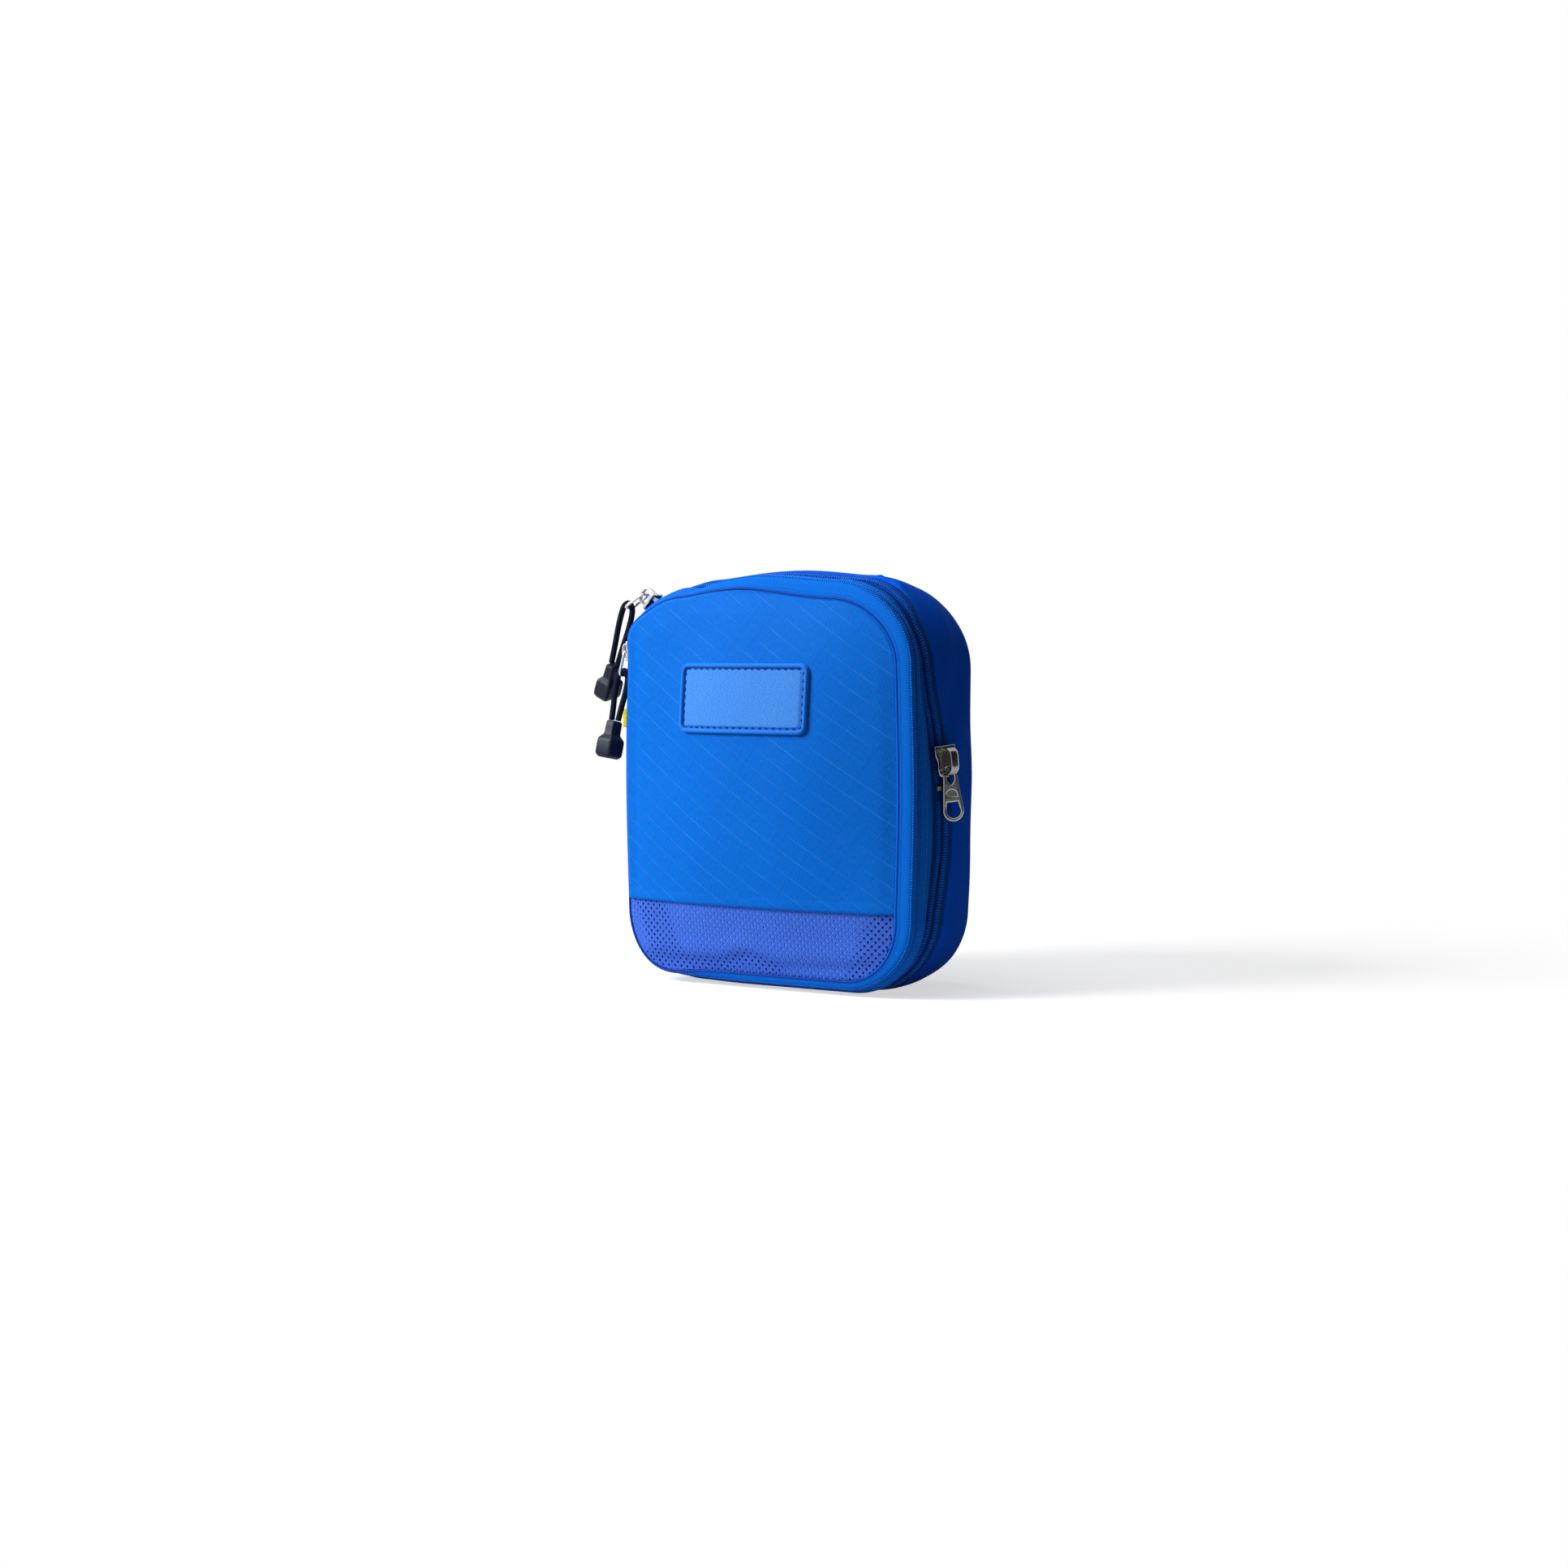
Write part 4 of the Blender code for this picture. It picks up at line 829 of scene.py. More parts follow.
def front_grid():
    """Rows over the whole front from its hidden edge to its middle, and the same rows laid flat."""
    spokes = RIM[:, [0, 2]] - MIDDLE
    lengths = np.linalg.norm(spokes, axis=1)[:, None]
    steps = np.linalg.norm(np.diff(EDGE, axis=0), axis=2)
    run = np.concatenate([np.zeros((1, len(RIM))), np.cumsum(steps, axis=0)])
    rows = list(EDGE[:0:-1])
    flat = [MIDDLE + spokes * (1 + extra[:, None] / lengths) for extra in run[:0:-1]]
    wrap = RIM[:, 1] - FRONT_SEAM_Y
    for share in np.concatenate([np.linspace(1.0, 0.9, 16), np.linspace(0.885, 0.015, 44)]):
        spot = MIDDLE + spokes * share
        rows.append(np.stack([spot[:, 0], face_y(spot[:, 0], spot[:, 1], share, wrap), spot[:, 1]], axis=1))
        flat.append(spot)
    return np.array(rows), np.array(flat)


def front_spots(flat):
    """Places on the front for points laid flat, and whether each lies within the cloth."""
    offset = flat - MIDDLE
    reach = np.linalg.norm(offset, axis=1)
    spokes = RIM[:, [0, 2]] - MIDDLE
    angles = np.unwrap(np.arctan2(spokes[:, 1], spokes[:, 0]))
    angle = np.arctan2(offset[:, 1], offset[:, 0])
    angle = angles[0] + (angle - angles[0]) % (2 * math.pi)
    count = len(RIM)
    at = np.interp(angle, np.append(angles, angles[0] + 2 * math.pi), np.arange(count + 1))
    low = np.floor(at).astype(int) % count
    part = (at - np.floor(at))[:, None]
    edge = EDGE[:, low] * (1 - part) + EDGE[:, (low + 1) % count] * part
    rim = edge[0]
    length = np.linalg.norm(rim[:, [0, 2]] - MIDDLE, axis=1)
    share = np.minimum(reach / length, 1.0)
    spot = MIDDLE + offset * np.minimum(1.0, length / np.maximum(reach, 1e-9))[:, None]
    y = face_y(spot[:, 0], spot[:, 1], share, rim[:, 1] - FRONT_SEAM_Y)
    places = np.stack([spot[:, 0], y, spot[:, 1]], axis=1)
    extra = np.maximum(reach - length, 0.0)
    inside = np.ones(len(flat), bool)
    passed = np.zeros(len(flat))
    for a, b in zip(edge, edge[1:]):
        step = np.linalg.norm(b - a, axis=1)
        here = (extra > passed) & (extra <= passed + step)
        part = ((extra - passed) / step)[:, None]
        places = np.where(here[:, None], a + (b - a) * part, places)
        passed = passed + step
    inside &= extra <= passed
    return places, inside


def keep_ahead(made, place, normal):
    """Keeps the part of a mesh that lies ahead of a plane."""
    bm = bmesh.new()
    bm.from_mesh(made.data)
    geometry = bm.verts[:] + bm.edges[:] + bm.faces[:]
    bmesh.ops.bisect_plane(bm, geom=geometry, plane_co=place, plane_no=normal, clear_inner=True)
    bm.to_mesh(made.data)
    bm.free()


def close_middle(made, place):
    """Fills the small hole left at the middle of a grid of rings."""
    bm = bmesh.new()
    bm.from_mesh(made.data)
    inner = [e for e in bm.edges if e.is_boundary and all((v.co - place).length < 0.01 for v in e.verts)]
    bmesh.ops.contextual_create(bm, geom=inner)
    bm.to_mesh(made.data)
    bm.free()


def thicken(made, wall):
    """Gives an open sheet of cloth its thickness, behind the side it shows."""
    solid = made.modifiers.new("wall", "SOLIDIFY")
    solid.thickness = wall
    solid.offset = -1.0
    bpy.context.view_layer.update()
    graph = bpy.context.evaluated_depsgraph_get()
    mesh = bpy.data.meshes.new_from_object(made.evaluated_get(graph))
    made.modifiers.clear()
    made.data = mesh
    mesh.shade_smooth()


def fold_lid(made):
    """Bakes the object's transform into the lid's cloth, which on the real cube turns on the fold at the left
    edge.
    """
    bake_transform(made)


# Front


def build_front_cloth(ripstop):
    rows, flat = front_grid()
    made = grid_object("front_cloth", rows, ripstop, flat=flat)
    close_middle(made, Vector((0, FRONT_SEAM_Y - DOME - PILLOW, MIDDLE_Z)))
    keep_ahead(made, (0, 0, MESH_SEAM_Z), (0, 0, 1))
    thicken(made, 0.0007)
    fold_lid(made)
    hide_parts("front_panel", "front_panel_hinge_edge")


HEM = [
    (0.0065, -0.0003), (0.0050, 0.00005), (0.0010, 0.0002),
    (-0.0004, 0.0001), (-0.0007, -0.0005), (0.0, -0.0010),
]


def build_hem(ripstop):
    """The panel's lower edge, turned under along the top of the mesh."""
    xs = np.linspace(-0.0920, 0.0860, 220)
    rows, flat, held = [], [], np.ones(len(xs), bool)
    for rise, lift in HEM:
        spots = np.stack([xs, np.full(len(xs), MESH_SEAM_Z + rise)], axis=1)
        places, inside = front_spots(spots)
        places[:, 1] -= lift
        rows.append(places)
        flat.append(spots)
        held &= inside
    rows, flat = np.array(rows)[:, held], np.array(flat)[:, held]
    made = grid_object("front_hem", rows, ripstop, ring=False, flat=flat)
    fold_lid(made)


NET_WIDTH = 0.0040
NET_HEIGHT = 0.0020
NET_HOLE = (0.0013, 0.0014)
NET_WALL = 0.0004
NET_SET_BACK = 0.0012


def net_cell():
    """A brick-shaped cell of the net with an oval hole: its outer ring and the ring of the hole."""
    steps = [
        (-1, -1), (-0.5, -1), (0, -1), (0.5, -1), (1, -1), (1, 0),
        (1, 1), (0.5, 1), (0, 1), (-0.5, 1), (-1, 1), (-1, 0),
    ]
    outer = np.array(steps) * (NET_WIDTH / 2, NET_HEIGHT / 2)
    angle = np.arctan2(outer[:, 1] / NET_HEIGHT, outer[:, 0] / NET_WIDTH)
    hole = np.stack([np.cos(angle) * NET_HOLE[0] / 2, np.sin(angle) * NET_HOLE[1] / 2], axis=1)
    return outer, hole


def build_mesh_cloth(material):
    outer, hole = net_cell()
    ring = len(outer)
    centres = []
    for j in range(int((MESH_SEAM_Z + 0.002) / NET_HEIGHT)):
        shift = NET_WIDTH / 2 if j % 2 else 0.0
        for i in range(-26, 26):
            centres.append((i * NET_WIDTH + shift, (j + 0.5) * NET_HEIGHT))
    centres = np.array(centres)
    between = (outer + hole * 2) / 3
    flat = centres[:, None] + np.concatenate([outer, between, hole])[None]
    places, inside = front_spots(flat.reshape(-1, 2))
    keep = inside.reshape(len(centres), -1).all(axis=1)
    places = places.reshape(len(centres), -1, 3)[keep]
    flat = flat[keep]
    places[:, :, 1] += NET_SET_BACK
    places[:, :ring, 1] += 0.00012
    faces = []
    for c in range(len(places)):
        start = c * 3 * ring
        for r in (0, ring):
            for k in range(ring):
                m = (k + 1) % ring
                faces.append((start + r + k, start + r + m, start + r + ring + m, start + r + ring + k))
    mesh = bpy.data.meshes.new("mesh_cloth")
    mesh.from_pydata(places.reshape(-1, 3).tolist(), [], faces)
    layer = mesh.uv_layers.new(name="metres")
    layer.data.foreach_set("uv", flat.reshape(-1, 2)[np.array(faces).ravel()].ravel())
    bm = bmesh.new()
    bm.from_mesh(mesh)
    bmesh.ops.remove_doubles(bm, verts=bm.verts, dist=2e-5)
    bm.to_mesh(mesh)
    bm.free()
    made = add_object("mesh_cloth", mesh, material)
    thicken(made, NET_WALL)
    fold_lid(made)
    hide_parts("mesh_panel", "mesh_panel_hinge_edge")


def build_mesh_backing(material):
    """The pocket's inner cloth: it lies against the net in the middle and falls away at both ends."""
    rows, flat = front_grid()
    rows = rows[12:].copy()
    x, z = rows[..., 0], rows[..., 2]
    left = np.exp(-((x + 0.066 - 0.42 * (0.030 - z)) / 0.006) ** 2) * smoothstep(z, 0.007, 0.013)
    right = np.exp(-((x - 0.069 + 0.50 * (0.030 - z)) / 0.0055) ** 2)
    crease = np.exp(-((z - crease_z(x)) / 0.0030) ** 2) * (1 - smoothstep(x, 0.0, 0.016))
    edge = 1 - smoothstep(z, 0.0045, 0.0070)
    rows[..., 1] += NET_SET_BACK + 0.00022 + 0.0045 * (left + right + 0.5 * crease + 0.4 * edge)
    made = grid_object("mesh_backing", rows, material, flat=flat[12:])
    keep_ahead(made, (0, 0, MESH_SEAM_Z + 0.006), (0, 0, -1))
    thicken(made, 0.0005)
    fold_lid(made)


LID_EDGE = FRONT_SPLIT_DEPTH - FRONT_SLIT / 2
BODY_EDGE = FRONT_SPLIT_DEPTH + FRONT_SLIT / 2
LID_TAPE = [
    (0.0010, SEAM_INSET + 0.0006, 0.0, 0.0058, 0.0016),
    (-0.0003, SEAM_INSET, 0.0, 0.0050, 0.0010),
    (0.0003, 0.0062, 0.0, 0.0055, 0.0008),
    (0.0018, 0.0030, 0.0, 0.0066, 0.0008),
    (0.0048, 0.0010, 0.0, 0.0078, EDGE_INSET),
    (LID_EDGE, EDGE_INSET, 0.0, LID_EDGE, EDGE_INSET),
]
BODY_TAPE = [
    (BODY_EDGE, 0.0014, 0.0),
    (0.0130, 0.0002, BODY_TAPE_DRIFT / 2),
    (BODY_TAPE_END, -0.0005, BODY_TAPE_DRIFT),
    (BODY_TAPE_END + 0.0006, 0.0009, BODY_TAPE_DRIFT),
]


# Where the cord of painted seam shade runs, just beside the front panel's edge.
SEAM_SHADE_LINE = (0.0003, SEAM_INSET + 0.0004, 0.0, 0.0034, 0.0020)


def build_painted_seam_shade(thread):
    """A thin dark cord along the front panel's edge: painted shade for the shadowed gap between the panel and
    the tape.
    """
    made = sweep("painted_seam_shade", loop(*SEAM_SHADE_LINE), lambda share, length: circle(0.0007), thread, closed=True)
    fold_lid(made)


def build_front_tapes(tape):
    lid = band("lid_tape", LID_TAPE, 0.0013, tape, 5)
    fold_lid(lid)
    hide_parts("front_zip_lid_tape", "front_zip_lid_tape_end")
    body = band("body_tape", BODY_TAPE, 0.0010, tape, 4)
    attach(body, "front_frame")
    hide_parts("front_zip_body_tape")


def on_profile(stations, depth):
    """The station at a depth on a tape's profile."""
    profile = catmull(stations, 12)
    order = np.argmin(np.abs(profile[:, 0] - depth))
    return profile[order]


STITCH_PITCH = 0.00135


def build_stitch_row(name, stations, depth, thread):
    """A row of short stitches round the body on one of the front zipper's tapes."""
    here = on_profile(stations, depth)
    place, along, across, out = walk(loop(*here), loop(*on_profile(stations, depth + 0.0005)), STITCH_PITCH)
    shape = bead(0.00105, 0.00090, 0.00070, 4, 6)
    made = scatter(name, shape, (place + out * 0.00005, along, across, out), thread)
    return made


def build_front_stitches(thread):
    for index, depth in enumerate((0.0034, 0.0068)):
        fold_lid(build_stitch_row(f"lid_stitches_{index + 1}", LID_TAPE, depth, thread))
    for index, depth in enumerate((0.0120, 0.0138)):
        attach(build_stitch_row(f"body_stitches_{index + 1}", BODY_TAPE, depth, thread), "front_frame")


# Sides and back


def chain_inset(depth):
    """The compression zipper's tapes lean, so that the chain turns towards the front."""
    return GROOVE - CHAIN_TILT * (depth - REAR_SPLIT_DEPTH)


CHAIN_FRONT = REAR_SPLIT_DEPTH - SLIT / 2
CHAIN_REAR = REAR_SPLIT_DEPTH + SLIT / 2
COMPRESSION_FRONT = [
    (REAR_SPLIT_DEPTH - TAPE_WIDTH - 0.0022, 0.0032, BODY_TAPE_DRIFT),
    (REAR_SPLIT_DEPTH - TAPE_WIDTH + 0.0006, 0.0014, BODY_TAPE_DRIFT),
    (0.0184, 0.0038, 0.70),
    (0.0200, chain_inset(0.0200), 0.80),
    (CHAIN_FRONT, chain_inset(CHAIN_FRONT), 1.0),
]
COMPRESSION_REAR = [
    (CHAIN_REAR, chain_inset(CHAIN_REAR), 1.0),
    (0.0284, chain_inset(0.0284), 1.0),
    (REAR_SPLIT_DEPTH + TAPE_WIDTH, 0.0003, 1.0),
]


def build_compression_tapes(tape):
    # The tape given here is the darker copy, with painted shade for the valley round the chain.
    front = band("compression_front_tape", COMPRESSION_FRONT, 0.0009, tape, 4)
    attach(front, "front_frame")
    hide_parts("compression_zip_front_tape")
    rear = band("compression_rear_tape", COMPRESSION_REAR, 0.0009, tape, 4)
    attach(rear, "rear_shell")
    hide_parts("compression_zip_rear_tape")


CHAIN_GAP_Z = (0.1004, 0.1094)
COIL_PITCH = 0.00140


def build_chain_half(name, centre, phase, material, body, node):
    """One half of the exposed coil: a turn at each pitch, leaning a little, open at the chain's ends."""
    here = (centre, chain_inset(centre), 1.0)
    beside = (centre + 0.0005, chain_inset(centre + 0.0005), 1.0)
    place, along, across, out = walk(loop(*here), loop(*beside), COIL_PITCH, phase)
    kept = ~((place[:, 0] > 0) & (place[:, 2] > CHAIN_GAP_Z[0]) & (place[:, 2] < CHAIN_GAP_Z[1]))
    place, along, across, out = place[kept], along[kept], across[kept], out[kept]
    lean = across + along * 0.25
    lean /= np.linalg.norm(lean, axis=1)[:, None]
    side = np.cross(out, lean)
    frames = (place + out * 0.0003, lean, side, out)
    made = scatter(name, bead(0.0027, 0.00122, 0.0015, 6, 8), frames, material)
    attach(made, body)
    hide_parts(node)


def build_chain(material):
    half = 0.00195
    build_chain_half("chain_front", REAR_SPLIT_DEPTH - half, 0.0, material,
                     "front_frame", "compression_zip_front_coil")
    build_chain_half("chain_rear", REAR_SPLIT_DEPTH + half, 0.5, material,
                     "rear_shell", "compression_zip_rear_coil")


GUSSET_START = REAR_SPLIT_DEPTH + TAPE_FLAT_WIDTH + 0.0019
GUSSET = [
    (GUSSET_START, 0.0006, 1.0),
    (GUSSET_START + 0.0016, -0.0003, 0.95),
    ((GUSSET_START + GUSSET_FLAT_DEPTH) / 2, -0.0006, (1 + GUSSET_DRIFT) / 2),
    (GUSSET_FLAT_DEPTH, 0.0, GUSSET_DRIFT),
    (GUSSET_TURN_DEPTH, GUSSET_TURN_INSET, 0.0),
    (BACK_SEAM_DEPTH, BACK_SEAM_INSET, 0.0),
]


def crumple(rows):
    """Soft folds that fan out below the gusset's top right corner, and a crumpled seam on top of it."""
    out = rows.copy()
    x, y, z = rows[..., 0], rows[..., 1], rows[..., 2]
    right = smoothstep(x, 0.050, 0.078) * smoothstep(z, 0.100, 0.150) * (1 - smoothstep(z, 0.200, 0.214))
    fold = np.sin(150 * (y - 0.55 * (z - 0.180)) + 1.0) * np.exp(-((y - 0.012) / 0.022) ** 2)
    out[..., 0] += 0.0011 * fold * right
    seam = np.exp(-((y - FRONT_SEAM_Y - GUSSET_START - 0.0015) / 0.0022) ** 2)
    place = np.exp(-((x - 0.058) / 0.010) ** 2) * smoothstep(z, 0.175, 0.195)
    out[..., 2] += (0.0016 + 0.0010 * np.sin(520 * x)) * seam * place
    waves = 0.0005 * np.sin(60 * z + 90 * y) * np.sin(48 * z - 40 * y + 1.5)
    waves = waves * smoothstep(np.abs(x), 0.070, 0.085)
    out[..., 0] += waves * np.sign(x) * smoothstep(y, 0.004, 0.012)
    return out


def build_gusset(cloth):
    made = band("gusset_cloth", GUSSET, 0.0012, cloth, 8, crumple)
    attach(made, "rear_shell")
    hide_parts("rear_gusset")


def build_back_cloth(cloth):
    rim = loop(BACK_SEAM_DEPTH, BACK_SEAM_INSET + 0.0008)
    seam_y = FRONT_SEAM_Y + BACK_SEAM_DEPTH
    rows = []
    for share in np.linspace(1.0, 0.015, 40):
        y = np.full(len(rim), seam_y + BACK_BULGE * (1 - share ** 2))
        rows.append(np.stack([rim[:, 0] * share, y, MIDDLE_Z + (rim[:, 2] - MIDDLE_Z) * share], axis=1))
    rows = np.array(rows)
    made = grid_object("back_cloth", rows, cloth, flat=rows[..., [0, 2]])
    close_middle(made, Vector((0, seam_y + BACK_BULGE, MIDDLE_Z)))
    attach(made, "rear_shell")
    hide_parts("back_panel")


def build_back_seam(cloth, thread):
    """Piping over the back seam, with a row of stitches beside it."""
    line = loop(BACK_SEAM_DEPTH, BACK_SEAM_INSET)
    piping = sweep("back_piping", line, lambda share, length: circle(0.0014), cloth, closed=True)
    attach(piping, "rear_shell")
    made = build_stitch_row("back_stitches", GUSSET, BACK_SEAM_DEPTH - 0.0028, thread)
    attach(made, "rear_shell")


def build_bindings(cloth):
    """Narrow bindings over the seams on the inside."""
    end = BODY_TAPE_END - GAP
    inner = BODY_WALL + GAP
    front = [(end - FRONT_BINDING_WIDTH, inner, BODY_TAPE_DRIFT), (end, inner, BODY_TAPE_DRIFT)]
    made = band("front_binding", front, BODY_WALL, cloth, 4)
    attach(made, "front_frame")
    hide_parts("front_seam_binding")
    start = GUSSET_TURN_DEPTH - BINDING_WIDTH
    start_inset = GUSSET_TURN_INSET * (start - GUSSET_FLAT_DEPTH) / (GUSSET_TURN_DEPTH - GUSSET_FLAT_DEPTH)
    seat = GUSSET_WALL + GAP
    rear = [(start, start_inset + seat, 0.0), (GUSSET_TURN_DEPTH - GAP, GUSSET_TURN_INSET + seat, 0.0)]
    made = band("back_binding", rear, BODY_WALL, cloth, 4)
    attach(made, "rear_shell")
    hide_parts("back_seam_binding")


def build_pleat(cloth):
    """The strip that lets the cube grow: folded inwards behind the closed compression zipper."""
    edge = GROOVE + BODY_WALL + GAP
    route = [
        (REAR_SPLIT_DEPTH - TAPE_WIDTH + GAP, edge, 1.0), (REAR_SPLIT_DEPTH - 0.0060, 0.0098, 1.0),
        (REAR_SPLIT_DEPTH - 0.0020, 0.0138, 1.0),
        (REAR_SPLIT_DEPTH, PLEAT_FOLD_INSET, 1.0), (REAR_SPLIT_DEPTH + 0.0026, 0.0132, 1.0),
        (REAR_SPLIT_DEPTH + TAPE_FLAT_WIDTH, edge + PLEAT_SLACK, 1.0),
        (REAR_SPLIT_DEPTH + TAPE_WIDTH - GAP, edge + 0.0020, 1.0),
    ]
    made = band("pleat_cloth", route, PLEAT_WALL, cloth, 5)
    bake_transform(made)
    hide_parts("expansion_pleat")


def build_inner_coil(name, depth, material, body, node):
    """A coil on the inside of one of the front zipper's tapes, right of the fold."""
    inset = EDGE_INSET + LID_WALL + GAP + COIL_HEIGHT / 2
    place, along, across, out = walk(loop(depth, inset), loop(depth + 0.0005, inset), COIL_PITCH)
    kept = place[:, 0] > FOLD_X + 0.003
    frames = (place[kept], across[kept], along[kept], out[kept])
    made = scatter(name, bead(COIL_WIDTH, 0.00135, COIL_HEIGHT * 0.85, 5, 8), frames, material)
    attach(made, body)
    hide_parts(node)


def build_inner_coils(material):
    build_inner_coil("lid_coil", LID_EDGE - COIL_WIDTH / 2, material, "front_lid", "front_zip_lid_coil")
    build_inner_coil("body_coil", BODY_EDGE + COIL_WIDTH / 2, material, "front_frame", "front_zip_body_coil")


# Patch


def rounded_loop(width, height, radius, count):
    """Evenly spaced points round a rectangle with round corners, anticlockwise from its right side."""
    corners = []
    for i, (sx, sz) in enumerate(((1, 1), (-1, 1), (-1, -1), (1, -1))):
        for k in range(13):
            angle = math.radians(90 * i + 90 * k / 12)
            x = sx * (width / 2 - radius) + radius * math.cos(angle)
            corners.append((x, sz * (height / 2 - radius) + radius * math.sin(angle)))
    ring = np.array(corners + corners[:1])
    passed = np.concatenate([[0.0], np.cumsum(np.linalg.norm(np.diff(ring, axis=0), axis=1))])
    at = np.arange(count) * passed[-1] / count
    return np.stack([np.interp(at, passed, ring[:, 0]), np.interp(at, passed, ring[:, 1])], axis=1)


def patch_loop(inset, count=PATCH_POINTS):
    corner = max(PATCH_CORNER - inset, 0.0012)
    return rounded_loop(PATCH_WIDTH - 2 * inset, PATCH_HEIGHT - 2 * inset, corner, count)


def on_front(flat, lift):
    """Places on the front panel for points in the patch's own coordinates, raised towards the viewer."""
    places, _ = front_spots(flat + np.array((PATCH_X, PATCH_Z)))
    places[:, 1] -= lift
    return places


def build_patch(embroidery, border_cloth, thread):
    seat = patch_loop(BORDER_WIDTH * 0.6)
    rim = patch_loop(BORDER_WIDTH + 0.0010)
    plan = [(seat, 0.0002), (patch_loop(BORDER_WIDTH), 0.0006), (rim, 0.0007), (rim * 0.985, 0.0012)]
    plan += [(rim * share, 0.0013) for share in np.linspace(0.95, 0.02, 16)]
    field = grid_object("patch_field", np.array([on_front(flat, lift) for flat, lift in plan]), embroidery,
                        flat=np.array([flat for flat, _ in plan]))
    close_middle(field, Vector(on_front(np.zeros((1, 2)), 0.0013)[0]))
    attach(field, "front_lid")
    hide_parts("label_patch")

    rows = []
    for turn in np.linspace(0, 2 * math.pi, 17)[:-1]:
        inset = BORDER_WIDTH / 2 * (1 - math.cos(turn))
        lift = 0.0006 + BORDER_HEIGHT * math.sin(turn)
        if lift < 0.0:
            lift *= 0.3
        rows.append(on_front(patch_loop(inset), lift))
    border = grid_object("patch_border", np.array(rows), border_cloth, tube=True)
    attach(border, "front_lid")
    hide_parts("label_patch_border")

    line = on_front(patch_loop(BORDER_WIDTH + 0.0006), 0.0010)
    inner = on_front(patch_loop(BORDER_WIDTH + 0.0012), 0.0010)
    place, along, across, out = walk(line, inner, PATCH_STITCH_PITCH)
    front = np.tile((0.0, -1.0, 0.0), (len(place), 1))
    frames = (place, along, np.cross(front, along), front)
    made = scatter("patch_stitches", bead(0.0018, 0.0006, 0.0005), frames, thread)
    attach(made, "front_lid")


# Sliders and pulls


def unit(v):
    v = np.asarray(v, float)
    return v / np.linalg.norm(v)


def sweep(name, points, section, material, closed=False, tube_ends=True):
    """A smooth body along a path. section(share, length) gives (side, up) pairs at each point."""
    points = np.asarray(points, float)
    ahead = np.roll(points, -1, axis=0) - np.roll(points, 1, axis=0)
    if not closed:
        ahead[0] = points[1] - points[0]
        ahead[-1] = points[-1] - points[-2]
    ahead /= np.linalg.norm(ahead, axis=1)[:, None]
    side = unit(np.cross(ahead[0], (0.31, 0.17, 0.93) if abs(ahead[0][1]) > 0.9 else (0.0, 1.0, 0.0)))
    passed = np.concatenate([[0.0], np.cumsum(np.linalg.norm(np.diff(points, axis=0), axis=1))])
    rows = []
    for place, forward, length in zip(points, ahead, passed):
        side = unit(side - forward * np.dot(side, forward))
        up = np.cross(forward, side)
        shape = section(length / passed[-1], length)
        rows.append(place + shape[:, 0:1] * side + shape[:, 1:2] * up)
    rows = np.array(rows)
    if not closed and tube_ends:
        middle = [points[0] + (row - points[0]) * 0.05 for row in rows[:1]]
        end = [points[-1] + (row - points[-1]) * 0.05 for row in rows[-1:]]
        rows = np.concatenate([middle, rows, end])
    made = grid_object(name, rows, material, tube=closed)
    return made


def circle(radius, sides=14):
    angle = 2 * math.pi * np.arange(sides) / sides
    return np.stack([np.cos(angle), np.sin(angle)], axis=1) * radius


def braid(length):
    """Outline of a braided cord at a length along it: strands that cross and recross."""
    angle = 2 * math.pi * np.arange(CORD_SIDES) / CORD_SIDES
    run = 2 * math.pi * length / BRAID_PITCH
    weave = np.cos(BRAID_STRANDS * angle + run) * np.cos(BRAID_STRANDS * angle - run)
    radius = CORD_DIAMETER / 2 * (1 - BRAID_DEPTH / 2 + BRAID_DEPTH * weave)
    return np.stack([np.cos(angle), np.sin(angle)], axis=1) * radius[:, None]


def hanging(lean_deg):
    lean = math.radians(lean_deg)
    return np.array((-math.sin(lean), 0.0, -math.cos(lean)))


def arc(centre, radius, start_deg, end_deg, steps):
    angle = np.radians(np.linspace(start_deg, end_deg, steps + 1))
    return np.stack([centre[0] + radius * np.cos(angle), centre[1] + radius * np.sin(angle)], axis=1)


def bail_plan():
    """Half-round wire loop: a bar through the crown, a waist and a wide far end."""
    half = BAIL_WIDTH / 2 - BAIL_WIRE / 2
    far = BAIL_LENGTH - BAIL_WIRE
    neck = half * BAIL_NECK
    right = [(0.0, 0.0), (neck - BAIL_BEND, 0.0), (neck, BAIL_BEND), (neck + 0.0002, 0.5 * far)]
    corner = arc((half - BAIL_CORNER, far - BAIL_CORNER), BAIL_CORNER, 0, 90, 8)
    right = np.array(right + corner.tolist() + [(0.0, far)])
    left = right[-2:0:-1] * (-1, 1)
    return np.concatenate([right, left])


def smooth_loop(points, steps):
    """A smooth closed curve through points."""
    points = np.asarray(points, float)
    a, b, c, d = np.roll(points, 1, 0), points, np.roll(points, -1, 0), np.roll(points, -2, 0)
    parts = []
    for i in range(steps):
        t = i / steps
        parts.append(0.5 * (2 * b + (c - a) * t + (2 * a - 5 * b + 4 * c - d) * t * t
                            + (3 * b - 3 * c + d - a) * t ** 3))
    return np.stack(parts, axis=1).reshape(-1, points.shape[1])


def build_grip(name, top, across, down, rubber):
    """A moulded grip: a slim neck that flares to a block, its edges and foot rounded."""
    depth_axis = np.cross(down, across)
    rows = []
    for z, wide, deep, radius in GRIP_SECTIONS:
        plan = rounded_loop(wide, deep, radius, 64)
        rows.append(top + down * z + plan[:, 0:1] * across + plan[:, 1:2] * depth_axis)
    return grid_object(name, np.array(rows), rubber)


